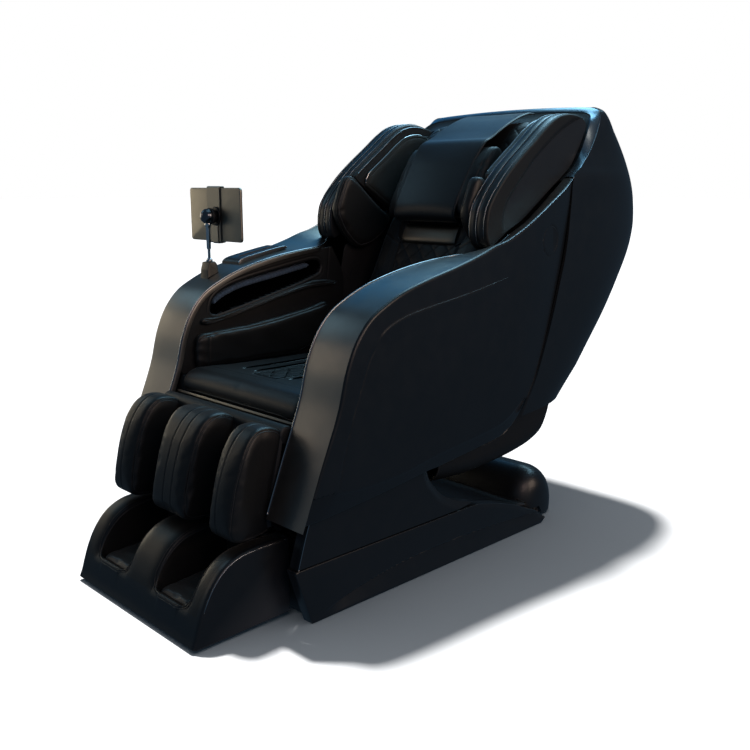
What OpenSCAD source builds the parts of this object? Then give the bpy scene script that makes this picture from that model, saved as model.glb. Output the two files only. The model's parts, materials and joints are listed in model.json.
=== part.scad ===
// Reclining massage chair. Millimetres, +Z up, the sitter faces -Y.
// The origin is on the floor, under the middle of the base in X.
// Profiles are (y, z) outlines swept along X, so most faces stay exact.

/* [Body] */
// Wall thickness of the moulded arm shells
arm_wall = 8; // [6:1:10]
// Wall thickness of the back shell
shell_wall = 8; // [6:1:10]
// Wall thickness of the skirts and neck covers
skirt_wall = 6; // [4:1:8]

/* [Upholstery] */
// Half width of the seat cushion
seat_half = 232; // [220:2:233]
// Half width of the backrest pad
back_half = 222; // [210:2:223]
// Half width of the middle calf cushion
fin_mid_half = 74; // [66:2:76]

/* [Tablet] */
// Width of the tablet
tablet_w = 242; // [200:2:260]
// Height of the tablet
tablet_h = 146; // [120:2:160]
// Thickness of the tablet
tablet_t = 9; // [7:1:10]
// Diameter of the chromed stem
stem_d = 14; // [12:1:16]

/* [Mechanism] */
// Diameter of the main pivot pins
pivot_d = 24; // [20:1:26]
// Diameter of the transport wheels
wheel_d = 72; // [64:2:74]
// Diameter of the footrest slide rods
foot_rod_d = 18; // [14:1:18]
// Outer diameter of the kneading rollers
knead_d = 44; // [36:2:46]

/* [Hidden] */
$fn = 48;
run = 0.05;          // radial clearance of every running fit
pivot = [50, 300];   // main recline pivot (y, z)
leg_hinge = [-497, 432];
track_o = [345, 690];   // origin of the straight massage track (y, z)
track_tilt = -30;       // track lean about X
tilt_lo = [-300, 118];  // lower pivot of the tilt actuator
tilt_eye = [-152.1, 361.1];
tilt_pin = [-150, 360];
leg_lo = [-315, 375];   // rear pivot of the legrest actuator
leg_eye = [-478.8, 375.7];
leg_pin = [-478.2, 380.3];
leg_x = 150;            // x of the legrest actuator
rod_gap = 40;           // x of the footrest slide rods

// ---------- helpers ----------
function cr(a, b, c, d, t) = 0.5 * ((2 * b) + (c - a) * t + (2 * a - 5 * b + 4 * c - d) * t * t + (-a + 3 * b - 3 * c + d) * t * t * t);
// Smooth open curve through hand-set points, n steps per span
function smooth(p, n) = concat([for (i = [0:len(p) - 2]) for (k = [0:n - 1])
    cr(p[max(i - 1, 0)], p[i], p[i + 1], p[min(i + 2, len(p) - 1)], k / n)], [p[len(p) - 1]]);
function unit(v) = v / norm(v);
function tang(p, i) = unit(p[min(i + 1, len(p) - 1)] - p[max(i - 1, 0)]);
// Open curve moved sideways by d, to the right of its direction
function offs(p, d) = [for (i = [0:len(p) - 1]) [p[i][0] + d * tang(p, i)[1], p[i][1] - d * tang(p, i)[0]]];

module prism(x0, x1, pts) translate([x0, 0, 0]) rotate([90, 0, 90]) linear_extrude(x1 - x0) polygon(pts);
module plan(z0, z1, pts) translate([0, 0, z0]) linear_extrude(z1 - z0) polygon(pts);
module box(x0, x1, y0, y1, z0, z1) translate([x0, y0, z0]) cube([x1 - x0, y1 - y0, z1 - z0]);
module rod_x(x0, x1, y, z, r) translate([x0, y, z]) rotate([0, 90, 0]) cylinder(r = r, h = x1 - x0);
module rod_y(y0, y1, x, z, r) translate([x, y0, z]) rotate([-90, 0, 0]) cylinder(r = r, h = y1 - y0);
module rod_z(z0, z1, x, y, r) translate([x, y, z0]) cylinder(r = r, h = z1 - z0);
module both() { children(); mirror([1, 0, 0]) children(); }
// Local frame of the massage track: Z runs along the track, -Y faces the pad
module track() translate([0, track_o[0], track_o[1]]) rotate([track_tilt, 0, 0]) children();
// Local frame with Z pointing from point a to point b, both (y, z)
module along(a, b) translate([0, a[0], a[1]]) rotate([atan2(-(b[0] - a[0]), b[1] - a[1]), 0, 0]) children();

// ---------- profiles (y, z) ----------
front_top = smooth([[-569, 252], [-541, 322], [-516, 384], [-467, 502], [-442, 590], [-413, 650], [-373, 695],
  [-325, 723], [-262, 749], [-180, 771], [-95, 789], [-24, 807], [20, 820], [62, 834], [112, 847], [170, 870], [239, 902],
  [316, 940], [390, 978], [422, 1000]], 2);
seam = [[412, 940], [401, 892], [388, 838], [372, 781], [349, 719], [323, 646], [290, 562], [245, 462], [190, 376]];
panel_low = [[162, 351], [113, 329], [-129, 300], [-165, 299]];
panel_in = offs(front_top, 10);
// plan outlines (x, y) of an arm shell; it narrows behind the shoulder
arm_plan = [[255, -620], [392, -620], [392, 150], [389, 230], [383, 300], [373, 370], [364, 430],
  [340, 430], [341, 300], [339, 230], [338, 150], [336, 94], [300, 82], [262, 64], [255, 20]];
arm_plan_in = [[240, -620], [384, -620], [384, 150], [381, 230], [375, 300], [365, 370], [356, 430], [240, 430]];
trough = [[-350, 648], [-337, 688], [-262, 722], [15, 768], [44, 762], [54, 742], [40, 716], [-318, 634], [-340, 636]];

// ---------- base ----------
module base_pan() color("#1c1d20") {
  box(-299.5, 299.5, -484, 344, 0, 8);
  both() box(292, 299.5, -484, 300, 8, 20);
}
module base_frame() color("#3a3c40") difference() {
  union() {
    both() box(220, 260, -470, 345, 8, 48);
    for (y = [-470, -180, 300]) box(-220, 220, y, y + 30, 8, 48);
    both() prism(250, 258, [[330, 8], [345, 8], [425, 28], [425, 54], [345, 54], [330, 48]]);
  }
  both() rod_x(240, 270, 410, 40, 6 + run);
  both() box(226, 254, -480, 344, 12, 44);
}
skirt_out = [[-492, 0], [385, 0], [408, 14], [355, 49], [311, 64], [277, 82], [183, 115], [89, 138], [-140, 139], [-412, 140], [-546, 140], [-548, 133]];
skirt_in = [[-482, 6], [383, 6], [396, 14], [350, 44], [307, 58], [274, 76], [181, 108], [88, 132], [-140, 133], [-412, 134], [-538, 134]];
module skirt() difference() {
  prism(300, 333, skirt_out);
  prism(290, 333 - skirt_wall, skirt_in);
  // long shadow groove low on the face
  prism(331, 335, [[-440, 14], [-220, 38], [380, 32], [380, 35], [-220, 42], [-440, 18]]);
}
module skirt_left() color("#22252b") skirt();
module skirt_right() color("#22252b") mirror([1, 0, 0]) skirt();
module base_front_cover() color("#1b1c1f") difference() {
  box(-299.5, 299.5, -492, -485, 8, 140);
  for (x = [-200:40:200]) box(x - 12, x + 12, -494, -484, 60, 66);
}
function arc_pts(cy, cz, a, b, n) = [for (i = [0:n]) [cy + a * cos(i * 180 / n), cz + b * sin(i * 180 / n)]];
module pod_solid(hw, a, b, z0) intersection() {
  prism(-hw, hw, concat(arc_pts(430, 35, a, b, 24), [[430 - a, z0], [430 + a, z0]]));
  plan(-1, 200, concat(
    [for (i = [0:8]) [hw - 80 + 80 * cos(i * 90 / 8), 430 + a - 80 + 80 * sin(i * 90 / 8)]],
    [for (i = [0:8]) [-hw + 80 - 80 * sin(i * 90 / 8), 430 + a - 80 + 80 * cos(i * 90 / 8)]],
    [[-hw, 300], [hw, 300]]));
}
module rear_cover() color("#22252b") difference() {
  union() {
    pod_solid(299, 95, 115, 0);
    // sloping deck between the skirts, in front of the bolster
    prism(-299, 299, [[112, 92], [186, 82], [280, 70], [350, 62], [350, 56], [279, 64], [185, 76], [112, 86]]);
  }
  difference() { pod_solid(293, 89, 109, -1); box(-80, 80, 500, 540, -2, 100); }
  box(-266, 266, 330, 350, -1, 56);
  box(-300, 300, 330, 345, -1, 8.5);       // frame and pan run in at the front
  box(-46, 46, 494, 540, 22, 82);         // pocket of the inlet plate
  box(-293, 293, 340, 500, -1, 8);
}
module slide_rails() color("#9a9da2") both() box(230, 250, -460, 150, 48, 68);
module power_module() color("#2b2d31") {
  difference() {
    box(-200, -40, -430, -210, 8, 64);
    for (y = [-400:24:-250]) box(-170, -70, y, y + 8, 60, 66);
  }
  for (y = [-395, -345, -295]) box(-40, -28, y, y + 26, 22, 40);
}
module air_pump() color("#3b3d42") {
  box(50, 190, -430, -290, 8, 60);
  rod_x(70, 170, -250, 38, 28);
  for (x = [90, 150]) rod_y(-290, -276, x, 34, 7);
}
module power_inlet() color("#141416") difference() {
  union() { box(-45.5, 45.5, 506, 524, 22.5, 81.5); box(-40, 40, 500, 506, 26, 78); }
  box(-36, -8, 508, 530, 38, 60);     // socket for the mains lead
  box(7.5, 30.5, 503, 530, 34, 64);   // window of the rocker
  rod_x(3, 35, 515, 49, 2.05);
}
module power_rocker() color("#0c0c0d") {
  intersection() { rod_x(8, 30, 515, 49, 11.5); box(8, 30, 514, 530, 36, 62); }
  intersection() { rod_x(8, 30, 515, 49, 6); box(8, 30, 508, 514.01, 42, 56); }
  rod_x(3.5, 34.5, 515, 49, 2);
}
module wheel_axles() color("#b7babd") both() { rod_x(247, 292.5, 410, 40, 6); rod_x(246, 249.99, 410, 40, 9); }
module wheel() difference() {
  union() {
    rod_x(264, 288, 410, 40, wheel_d / 2);
    rod_x(260, 291, 410, 40, 12);
  }
  rod_x(258, 294, 410, 40, 6 + run);
  for (a = [0:60:300]) rod_x(262, 292, 410 + 21 * cos(a), 40 + 21 * sin(a), 4);
}
module wheel_left() color("#161616") wheel();
module wheel_right() color("#161616") mirror([1, 0, 0]) wheel();
module slide_actuator() color("#55585d") difference() {
  union() { rod_y(46, 238, 0, 38, 16); rod_y(238, 286, 0, 38, 24); box(-20, 20, 244, 280, 8, 30); }
  rod_y(40, 234, 0, 38, 10 + run);
}
module slide_rod() color("#c9ccd0") { rod_y(38, 228, 0, 38, 10); rod_y(34, 38, 0, 38, 15); }

// ---------- carriage ----------
module runner(y) difference() {
  box(218, 262, y - 30, y + 30, 50, 82);
  box(229.8, 250.2, y - 31, y + 31, 49, 68.3);
}
module carriage_frame() color("#44474c") difference() {
  union() {
    both() { runner(-300); runner(20); box(228, 252, -330, 50, 80, 104); }
    for (y = [-300, 20]) box(-232, 232, y - 15, y + 15, 80, 105);
    // drive lug for the slide rod
    box(-15, 15, 24, 34, 24, 84);
    // pivot uprights
    both() prism(150, 160, [[-20, 82], [75, 82], [76, 200], [72, 300], [66, 316], [50, 323], [34, 316], [28, 300], [22, 200]]);
    both() box(150, 160, -20, 40, 80, 105);
    both() rod_x(146, 182, pivot[0], pivot[1], pivot_d / 2);
    // lower ears of the tilt actuator
    for (s = [-1, 1]) prism(s * 25 - 4, s * 25 + 4, [[-318, 100], [-282, 100], [-284, 122], [-300, 136], [-316, 122]]);
    // arms that carry the neck covers
    both() for (y = [-300, -40]) { box(250, 270, y - 15, y + 15, 84, 160); box(262, 327, y - 15, y + 15, 150, 160); }
  }
  rod_x(-40, 40, tilt_lo[0], tilt_lo[1], 6 + run);
}
neck_out = [[-541, 141.5], [84, 141.5], [60, 150], [20, 162], [-20, 178], [-55, 199], [-82, 226], [-101, 250], [-112, 280], [-120, 322], [-300, 306], [-452, 292], [-494, 282], [-500, 262], [-517, 214]];
neck_in = [[-532, 148], [50, 148], [17, 156], [-23, 172], [-59, 193], [-87, 221], [-106, 247], [-118, 279], [-126, 315], [-300, 299], [-452, 285], [-489, 276], [-494, 261], [-511, 213]];
module neck() difference() { prism(300, 333, neck_out); prism(299, 333 - skirt_wall, neck_in); }
module neck_cover_left() color("#22252b") neck();
module neck_cover_right() color("#22252b") mirror([1, 0, 0]) neck();

// ---------- tilt actuator ----------
module tilt_actuator() color("#55585d") difference() {
  union() {
    rod_x(-20, 20, tilt_lo[0], tilt_lo[1], 12);
    along(tilt_lo, tilt_eye) { rod_z(8, 205, 0, 0, 17); translate([0, 0, 24]) box(-20, 20, -24, 50, 0, 46); }
    rod_x(-30, 30, tilt_lo[0], tilt_lo[1], 6);
  }
  along(tilt_lo, tilt_eye) rod_z(84, 210, 0, 0, 10 + run);
}
module tilt_rod() color("#c9ccd0") difference() {
  union() {
    along(tilt_lo, tilt_eye) rod_z(88, 270, 0, 0, 10);
    rod_x(-9, 9, tilt_eye[0], tilt_eye[1], 18);
  }
  rod_x(-12, 12, tilt_eye[0], tilt_eye[1], 11);
}

// ---------- capsule: frames ----------
module seat_frame() color("#44474c") difference() {
  union() {
    both() box(184, 215, -445, 190, 392, 420);
    box(-186, 186, -445, -417, 404, 420);
    for (y = [-165, 60]) box(-186, 186, y, y + 28, 392, 420);
    box(-228, 228, -455, 90, 423, 428);
    both() for (y = [-400, -60]) box(188, 212, y, y + 40, 419, 424);
    // main pivot lugs
    both() prism(166, 178, [[20, 420], [82, 420], [76, 300], [68, 278], [50, 270], [32, 278], [24, 300]]);
    both() box(166, 190, 60, 88, 392, 420);
    // upper ears of the tilt actuator
    for (s = [-1, 1]) prism(s * 18 - 4, s * 18 + 4, [[-165, 400], [-137, 400], [-138, 358], [-150, 346], [-162, 358]]);
    rod_x(-22, 22, tilt_pin[0], tilt_pin[1], 8);
    // rear ears of the legrest actuator
    for (s = [-1, 1]) prism(leg_x + s * 26 - 4, leg_x + s * 26 + 4, [[-300, 424], [-332, 424], [-329, 372], [-315, 360], [-301, 372]]);
    // side mounts of the arm shells
    both() for (y = [-400, 60]) box(214, 384, y, y + 24, 396, 408);
    // hinge brackets of the legrest
    both() difference() {
      prism(96, 106, [[-440, 404], [-420, 404], [-420, 420], [-470, 422], [-482, 440], [-497, 448], [-508, 441], [-510.5, 430], [-503, 418], [-480, 408]]);
    }
  }
  both() rod_x(90, 112, leg_hinge[0], leg_hinge[1], 8 + run);
  rod_x(leg_x - 40, leg_x + 40, leg_lo[0], leg_lo[1], 5 + run);
  both() rod_x(160, 184, pivot[0], pivot[1], pivot_d / 2 + run);
}
module backrest_frame() color("#44474c") {
  // side tubes rise from the seat frame behind the pad
  both() prism(160, 184, [[152, 392], [184, 392], [208, 440], [232, 500], [326, 700], [455, 925], [548, 1086], [518, 1090], [430, 939], [300, 713], [206, 512], [180, 450]]);
  track() for (z = [-34, 436]) box(-184, 184, -40, 12, z, z + 16);
}
module massage_rails() color("#9a9da2") track() both() difference() {
  box(106, 124, -13, 13, -18, 436);
  box(104, 118, -7, 7, -17, 435);
}
module massage_carriage() color("#55585d") track() difference() {
  union() {
    box(-96, 96, 6, 14, 4, 70);
    both() { box(88, 96, -38, 14, 4, 70); box(20, 28, -38, 6.1, 22, 52); }
    both() { rod_x(94, 117, 0, 14, 6.5); rod_x(94, 117, 0, 60, 6.5); }
    box(-40, 40, 14, 60, 12, 62);
  }
  both() rod_x(15, 100, -26, 37, 6 + run);
}
module kneader() track() difference() {
  union() {
    rod_x(20.5, 95.5, -26, 37, 6);
    rod_x(31, 47, -24, 45, knead_d / 2);
    rod_x(69, 85, -28, 29, knead_d / 2);
    rod_x(46, 70, -26, 37, 11);
  }
}
module kneader_left() color("#2e2f33") kneader();
module kneader_right() color("#2e2f33") mirror([1, 0, 0]) kneader();

// ---------- capsule: shells ----------
module side_panel() difference() {
  intersection() { prism(254, 393, concat(front_top, seam, panel_low)); plan(200, 1300, arm_plan); }
  intersection() {
    prism(240, 400, concat(panel_in, [[470, 950], [470, 200], [-560, 200], [-562, 240]]));
    plan(100, 1400, arm_plan_in);
  }
  rod_x(360, 400, 302, 837, 38.5);
}
module side_panel_left() color("#26292f") side_panel();
module side_panel_right() color("#26292f") mirror([1, 0, 0]) side_panel();
liner_top = offs(smooth([[-467, 502], [-442, 590], [-413, 650], [-373, 695], [-325, 723], [-262, 749], [-180, 771],
  [-95, 789], [-24, 804], [50, 819]], 2), 11);
module arm_liner() difference() {
  union() {
    prism(262, 268, concat(liner_top, [[90, 812], [150, 700], [120, 500], [-440, 480]]));
    prism(262, 356, [[-358, 644], [-343, 694], [-262, 729], [15, 775], [50, 768], [61, 742], [44, 709], [-318, 627], [-348, 629]]);
  }
  prism(260, 350, trough);
}
module arm_liner_left() color("#1a1b1e") arm_liner();
module arm_liner_right() color("#1a1b1e") mirror([1, 0, 0]) arm_liner();
module arm_pads() color("#141416") both()
  prism(248, 261.7, [[-390, 618], [-384, 609], [-352, 605], [-33, 676], [110, 682], [120, 700], [20, 712], [-40, 700], [-320, 632], [-385, 634]]);
module hip_pads() color("#161618") both()
  prism(236, 261.7, [[-401, 478], [-412, 500], [-408, 560], [-396, 584], [-352, 598], [-34, 664], [60, 670], [84, 640], [60, 478]]);
module hand_airbags() color("#222a33") both()
  prism(272, 349.7, [[-338, 672], [-330, 688], [-258, 719], [12, 765], [12, 752], [-256, 706], [-322, 672]]);

shell_rows = [[371, 340, 506, 150], [441, 342, 560, 150], [521, 344, 637, 150], [616, 345, 731, 150], [703, 345, 808, 150],
  [783, 345, 866, 150], [875, 345, 894, 150], [957, 344, 882, 142], [1047, 340, 828, 122], [1124, 336, 757, 105],
  [1185, 328, 681, 84], [1204, 318, 644, 66]];
shell_front = [[392, 150, 371], [392, 150, 836], [383, 300, 897], [371, 412, 966], [358, 476, 1034], [342, 555, 1103], [333, 590, 1150], [326, 598, 1204]];
module shell_hull(t, drop, f) hull() {
  for (r = shell_rows) for (s = [-1, 1])
    translate([s * (r[1] - r[3]), r[2] - r[3], r[0] - (r[0] > 1100 ? t : drop)]) cylinder(r = r[3] - t, h = 1, $fn = 36);
  for (p = shell_front) for (s = [-1, 1])
    translate([s * (p[0] - t) - 1, p[1] + (t > 0 ? f : 0), p[2] - (p[2] > 1100 ? t : 0)]) cube([2, 2, 1]);
}
module back_shell() color("#26292f") intersection() {
  difference() {
    shell_hull(0, 0, 0);
    shell_hull(shell_wall, 12, -20);
    box(-400, 400, 100, 420, 300, 390);
  }
  prism(-400, 400, [[190.4, 376], [245.4, 462], [290.4, 562], [323.5, 646], [349.5, 719], [372.5, 781], [388.5, 838], [401.5, 892], [412.5, 940], [424, 1001],
    [476, 1034], [515, 1064], [555, 1103], [584, 1147], [594, 1180], [596, 1230], [1000, 1230], [1000, 398], [545, 398]]);
}
module fairing_plan(hw, r, y1) plan(150, 600, concat(
    [for (i = [0:8]) [hw - r + r * cos(i * 90 / 8), y1 - r + r * sin(i * 90 / 8)]],
    [for (i = [0:8]) [-hw + r - r * sin(i * 90 / 8), y1 - r + r * cos(i * 90 / 8)]],
    [[-hw, -100], [hw, -100]]));
module lower_fairing() color("#1e2024") difference() {
  intersection() {
    prism(-292, 292, [[-30, 205], [30, 200], [111, 197], [231, 203], [330, 214], [397, 233], [440, 262], [462, 323], [490, 366], [505, 392], [515, 430], [210, 396], [40, 396], [-30, 330]]);
    fairing_plan(292, 60, 516);
  }
  intersection() {
    prism(-286, 286, [[-40, 211], [30, 206], [111, 203], [231, 209], [329, 220], [393, 238], [435, 265], [456, 325], [484, 369], [499, 394], [508, 440], [210, 440], [-40, 440]]);
    fairing_plan(286, 54, 510);
  }
  both() box(144, 164, 8, 162, 190, 230);
}

// ---------- capsule: upholstery ----------
module seat_cushion() color("#18181a")
  prism(-seat_half, seat_half, [[-456, 428.5], [-462, 445], [-463, 470], [-452, 494], [-425, 507], [-380, 510], [-250, 506], [-60, 504], [96, 502], [100, 470], [92, 428.5]]);
module seat_front_plate() color("#6d6558") difference() {
  prism(-250, 250, [[-470, 424], [-464.5, 424], [-464.5, 450], [-468, 451]]);
  both() box(92, 110, -480, -450, 420, 436);
}
module backrest_pad() color("#18181a")
  prism(-back_half, back_half, [[106, 505], [118, 545], [150, 630], [205, 740], [258, 842], [316, 935], [400, 1062], [470, 1146], [530, 1190],
    [566, 1192], [572, 1168], [548, 1128], [490, 1062], [398, 926], [330, 810], [270, 702], [212, 590], [186, 505]]);
module neck_pad() color("#4d4740") {
  prism(-104, 104, [[236, 806], [229, 824], [241, 858], [262, 872], [272, 868], [262, 851]]);
  both() prism(104, 150, [[241, 816], [237, 828], [250, 856], [268, 874], [273, 869], [264, 854]]);
}
wing_side = [[114, 822], [102, 836], [96, 860], [96, 889], [103, 922], [121, 949], [151, 983], [182, 1013], [230, 1051], [291, 1095], [344, 1134],
  [390, 1160], [435, 1171], [478, 1171], [505, 1166], [524, 1159], [534, 1148], [533, 1136], [520, 1109], [498, 1073], [474, 1041], [427, 1005],
  [357, 960], [302, 923], [249, 890], [190, 864], [145, 839]];
module wing() prism(268, 334, wing_side);
module wing_left() color("#1d1e21") wing();
module wing_right() color("#1d1e21") mirror([1, 0, 0]) wing();
module shoulder_pads() color("#161618") both()
  prism(226, 267.7, [[96, 868], [82, 915], [120, 1008], [140, 1022], [172, 1016], [276, 926], [345, 884], [300, 822], [232, 786], [178, 780], [130, 815]]);
module speaker_pads() color("#232326") both()
  prism(236, 267.7, [[192, 1015], [186, 1007.5], [282, 932], [354, 892], [440, 1010], [504, 1092], [524, 1130], [518, 1150], [492, 1160], [442, 1163], [390, 1153], [345, 1128], [292, 1089], [229, 1044]]);
module pivot_caps() color("#2a2d33") both() rod_x(374, 385, 302, 837, 38);
module phone_pocket() color("#12202c") mirror([1, 0, 0]) difference() {
  prism(300, 384, [[-222, 762], [-222, 770], [-212, 776], [-120, 796], [-58, 806], [-48, 804], [-46, 801.2], [-95, 790.4], [-180, 772.6]]);
  box(336, 348, -190, -80, 771, 830);
}
module tablet_holder() color("#8a8172") difference() {
  prism(-348, -312, [[-319, 727.7], [-318, 752], [-312, 772], [-292, 774], [-286, 766], [-282, 743]]);
  rod_z(735, 790, -330, -300, stem_d / 2 + run);
}
module tablet_stem() color("#d3d6d9") {
  rod_z(744, 884, -330, -300, stem_d / 2);
  translate([-330, -300, 897]) sphere(r = 21);
}
module tablet() color("#8d8474") difference() {
  union() {
    box(-340 - tablet_w / 2, -340 + tablet_w / 2, -270, -270 + tablet_t, 901 - tablet_h / 2, 901 + tablet_h / 2);
    // clamp bracket with hooked ends
    box(-372, -311, -273, -270, 901 - tablet_h / 2 - 3, 901 + tablet_h / 2 + 3);
    box(-346, -318, -277, -270, 901 - tablet_h / 2 - 5, 901);
    for (s = [-1, 1]) box(-372, -311, -273, -270 + tablet_t + 3, 901 + s * (tablet_h / 2 + 1.5) - 1.5, 901 + s * (tablet_h / 2 + 1.5) + 1.5);
    for (s = [-1, 1]) box(-372, -311, -270 + tablet_t, -270 + tablet_t + 3, 901 + s * (tablet_h / 2 - 2) - 3.5, 901 + s * (tablet_h / 2 - 2) + 3.5);
    // socket ring that holds the ball
    intersection() { rod_y(-300, -271, -330, 897, 27); box(-360, -300, -297, -271, 887, 930); }
  }
  translate([-330, -300, 897]) sphere(r = 21 + 0.3);
}
module head_pillow() color("#16222c") {
  prism(-146, 146, [[224, 915], [221, 935], [240, 975], [285, 1050], [322, 1104], [340, 1114], [372, 1104], [378, 1080], [330, 1000], [278, 918], [262, 898], [238, 898]]);
  prism(-120, 120, [[334, 1112], [350, 1122], [430, 1160], [538, 1206], [566, 1206], [566, 1198], [540, 1198], [434, 1152], [356, 1108]]);
}

// ---------- legrest ----------
module leg_actuator() color("#55585d") difference() {
  union() {
    rod_x(leg_x - 18, leg_x + 18, leg_lo[0], leg_lo[1], 11);
    translate([leg_x, 0, 0]) along(leg_lo, leg_eye) { rod_z(4, 132, 0, 0, 13); }
    rod_x(leg_x - 30, leg_x + 30, leg_lo[0], leg_lo[1], 5);
  }
  translate([leg_x, 0, 0]) along(leg_lo, leg_eye) rod_z(34, 140, 0, 0, 7 + run);
}
module leg_rod() color("#c9ccd0") difference() {
  union() {
    translate([leg_x, 0, 0]) along(leg_lo, leg_eye) rod_z(38, 152, 0, 0, 7);
    rod_x(leg_x - 9, leg_x + 9, leg_eye[0], leg_eye[1], 15.5);
  }
  rod_x(leg_x - 12, leg_x + 12, leg_eye[0], leg_eye[1], 11.2);
}
calf_top = [-494, 404];
calf_low = [-548, 180];
module calf_frame() color("#44474c") difference() {
  union() {
    // sleeves of the footrest rods
    both() translate([rod_gap, 0, 0]) along(calf_top, calf_low) rod_z(-6, 180, 0, 0, foot_rod_d / 2 + 4);
    // hinge knuckles
    both() prism(108, 118, [[-497, 448], [-508, 442], [-510, 428], [-506, 400], [-482, 396], [-481, 430], [-485, 442]]);
    both() rod_x(92, 112, leg_hinge[0], leg_hinge[1], 8);
    box(-170, 170, -510, -497, 396, 408);
    // actuator lever
    for (s = [-1, 1]) prism(leg_x + s * 15 - 3, leg_x + s * 15 + 3, [[-509, 408], [-497, 408], [-470, 388], [-468, 374], [-482, 370], [-500, 384], [-509, 396]]);
    rod_x(leg_x - 17, leg_x + 17, leg_pin[0], leg_pin[1], 5);
  }
  both() translate([rod_gap, 0, 0]) along(calf_top, calf_low) rod_z(-2, 190, 0, 0, foot_rod_d / 2 + run);
}
module calf_tray() color("#1b1c1f") difference() {
  prism(-248, 248, [[-505, 446], [-514, 440], [-561, 240], [-559, 226], [-548, 226], [-548, 236]]);
  both() translate([rod_gap, 0, 0]) along(calf_top, calf_low) rod_z(-20, 200, 0, 0, foot_rod_d / 2 + 4.3);
  both() box(92, 122, -514, -470, 415, 460);
}
fin_side = [[-515, 448], [-524, 458], [-547, 467], [-575, 465], [-604, 449], [-633, 409], [-656, 344], [-670, 279], [-674, 239],
  [-668, 219], [-646, 206], [-592, 203], [-568, 209], [-560, 223]];
module calf_fin_left() color("#18181a") prism(166, 249, concat(fin_side, [[-562.5, 241], [-515.6, 440]]));
module calf_fin_right() color("#18181a") mirror([1, 0, 0]) prism(166, 249, concat(fin_side, [[-562.5, 241], [-515.6, 440]]));
module calf_fin_middle() color("#18181a") prism(-fin_mid_half, fin_mid_half, concat(fin_side, [[-562.5, 241], [-515.6, 440]]));

// ---------- footrest ----------
foot_side = [[-775, 12], [-768, 28], [-757, 62], [-742, 100], [-718, 140], [-688, 170], [-650, 188], [-600, 194], [-512, 194], [-512, 12]];
module foot_housing() color("#202227") difference() {
  prism(-262, 262, foot_side);
  both() prism(62, 200, [[-800, 84], [-756, 78], [-738, 54], [-560, 46], [-544, 60], [-540, 300], [-800, 300]]);
  both() translate([rod_gap, 0, 0]) along(calf_top, calf_low) rod_z(150, 300, 0, 0, foot_rod_d / 2 + 0.02);
  box(-240, 240, -745, -560, 8, 38);
  box(-56, 56, -700, -530, 8, 150);
}
module foot_pads() color("#18181a") both()
  prism(64, 198, [[-754, 84], [-751, 80], [-736, 58], [-562, 50], [-548, 62], [-544, 190], [-553, 190], [-558, 76], [-568, 62], [-733, 68], [-744, 86]]);
module foot_rods() color("#c9ccd0") both() translate([rod_gap, 0, 0]) along(calf_top, calf_low) rod_z(10, 300, 0, 0, foot_rod_d / 2);

base_pan();
base_frame();
skirt_left();
skirt_right();
base_front_cover();
rear_cover();
slide_rails();
power_module();
air_pump();
power_inlet();
wheel_axles();
slide_actuator();
power_rocker();
wheel_left();
wheel_right();
carriage_frame();
neck_cover_left();
neck_cover_right();
slide_rod();
tilt_actuator();
tilt_rod();
seat_frame();
backrest_frame();
massage_rails();
side_panel_left();
side_panel_right();
arm_liner_left();
arm_liner_right();
arm_pads();
hip_pads();
hand_airbags();
back_shell();
lower_fairing();
seat_cushion();
seat_front_plate();
backrest_pad();
neck_pad();
wing_left();
wing_right();
shoulder_pads();
speaker_pads();
pivot_caps();
phone_pocket();
tablet_holder();
leg_actuator();
leg_rod();
calf_frame();
calf_tray();
calf_fin_left();
calf_fin_middle();
calf_fin_right();
foot_housing();
foot_pads();
foot_rods();
massage_carriage();
kneader_left();
kneader_right();
tablet_stem();
tablet();
head_pillow();
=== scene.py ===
import bpy, bmesh, math, json
import numpy as np
from mathutils import Vector, Matrix
from mathutils.bvhtree import BVHTree

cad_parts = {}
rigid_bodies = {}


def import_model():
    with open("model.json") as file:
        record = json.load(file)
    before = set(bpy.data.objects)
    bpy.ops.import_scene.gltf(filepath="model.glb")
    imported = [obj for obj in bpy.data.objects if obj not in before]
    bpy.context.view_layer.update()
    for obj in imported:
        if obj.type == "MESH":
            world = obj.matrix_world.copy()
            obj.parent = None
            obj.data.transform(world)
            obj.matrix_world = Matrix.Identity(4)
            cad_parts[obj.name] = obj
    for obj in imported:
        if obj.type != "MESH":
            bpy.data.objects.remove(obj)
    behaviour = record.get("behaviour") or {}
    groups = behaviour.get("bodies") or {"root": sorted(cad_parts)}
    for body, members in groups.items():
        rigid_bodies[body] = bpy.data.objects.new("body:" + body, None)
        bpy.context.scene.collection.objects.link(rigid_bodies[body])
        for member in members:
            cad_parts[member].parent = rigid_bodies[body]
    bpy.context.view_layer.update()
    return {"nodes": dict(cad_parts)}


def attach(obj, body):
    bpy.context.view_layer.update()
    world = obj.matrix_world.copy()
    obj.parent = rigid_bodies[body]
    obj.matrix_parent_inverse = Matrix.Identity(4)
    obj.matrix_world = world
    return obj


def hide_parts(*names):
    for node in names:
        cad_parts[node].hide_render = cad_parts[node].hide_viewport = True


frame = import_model()
scene = bpy.context.scene
NODE = frame["nodes"]
MM = 0.001
rng = np.random.default_rng(7)

# ------------------------------------------------------------------ camera, light, floor
cam_data = bpy.data.cameras.new("camera")
cam = bpy.data.objects.new("camera", cam_data)
scene.collection.objects.link(cam)
cam.location = (1.7591, -1.6954, 0.980)
cam.rotation_euler = (math.radians(77.9), 0, math.radians(45.7))
cam_data.sensor_width = 36.0
cam_data.lens = 42.43
cam_data.clip_end = 200
scene.camera = cam
scene.view_settings.view_transform = "Standard"
scene.view_settings.look = "None"


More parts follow.
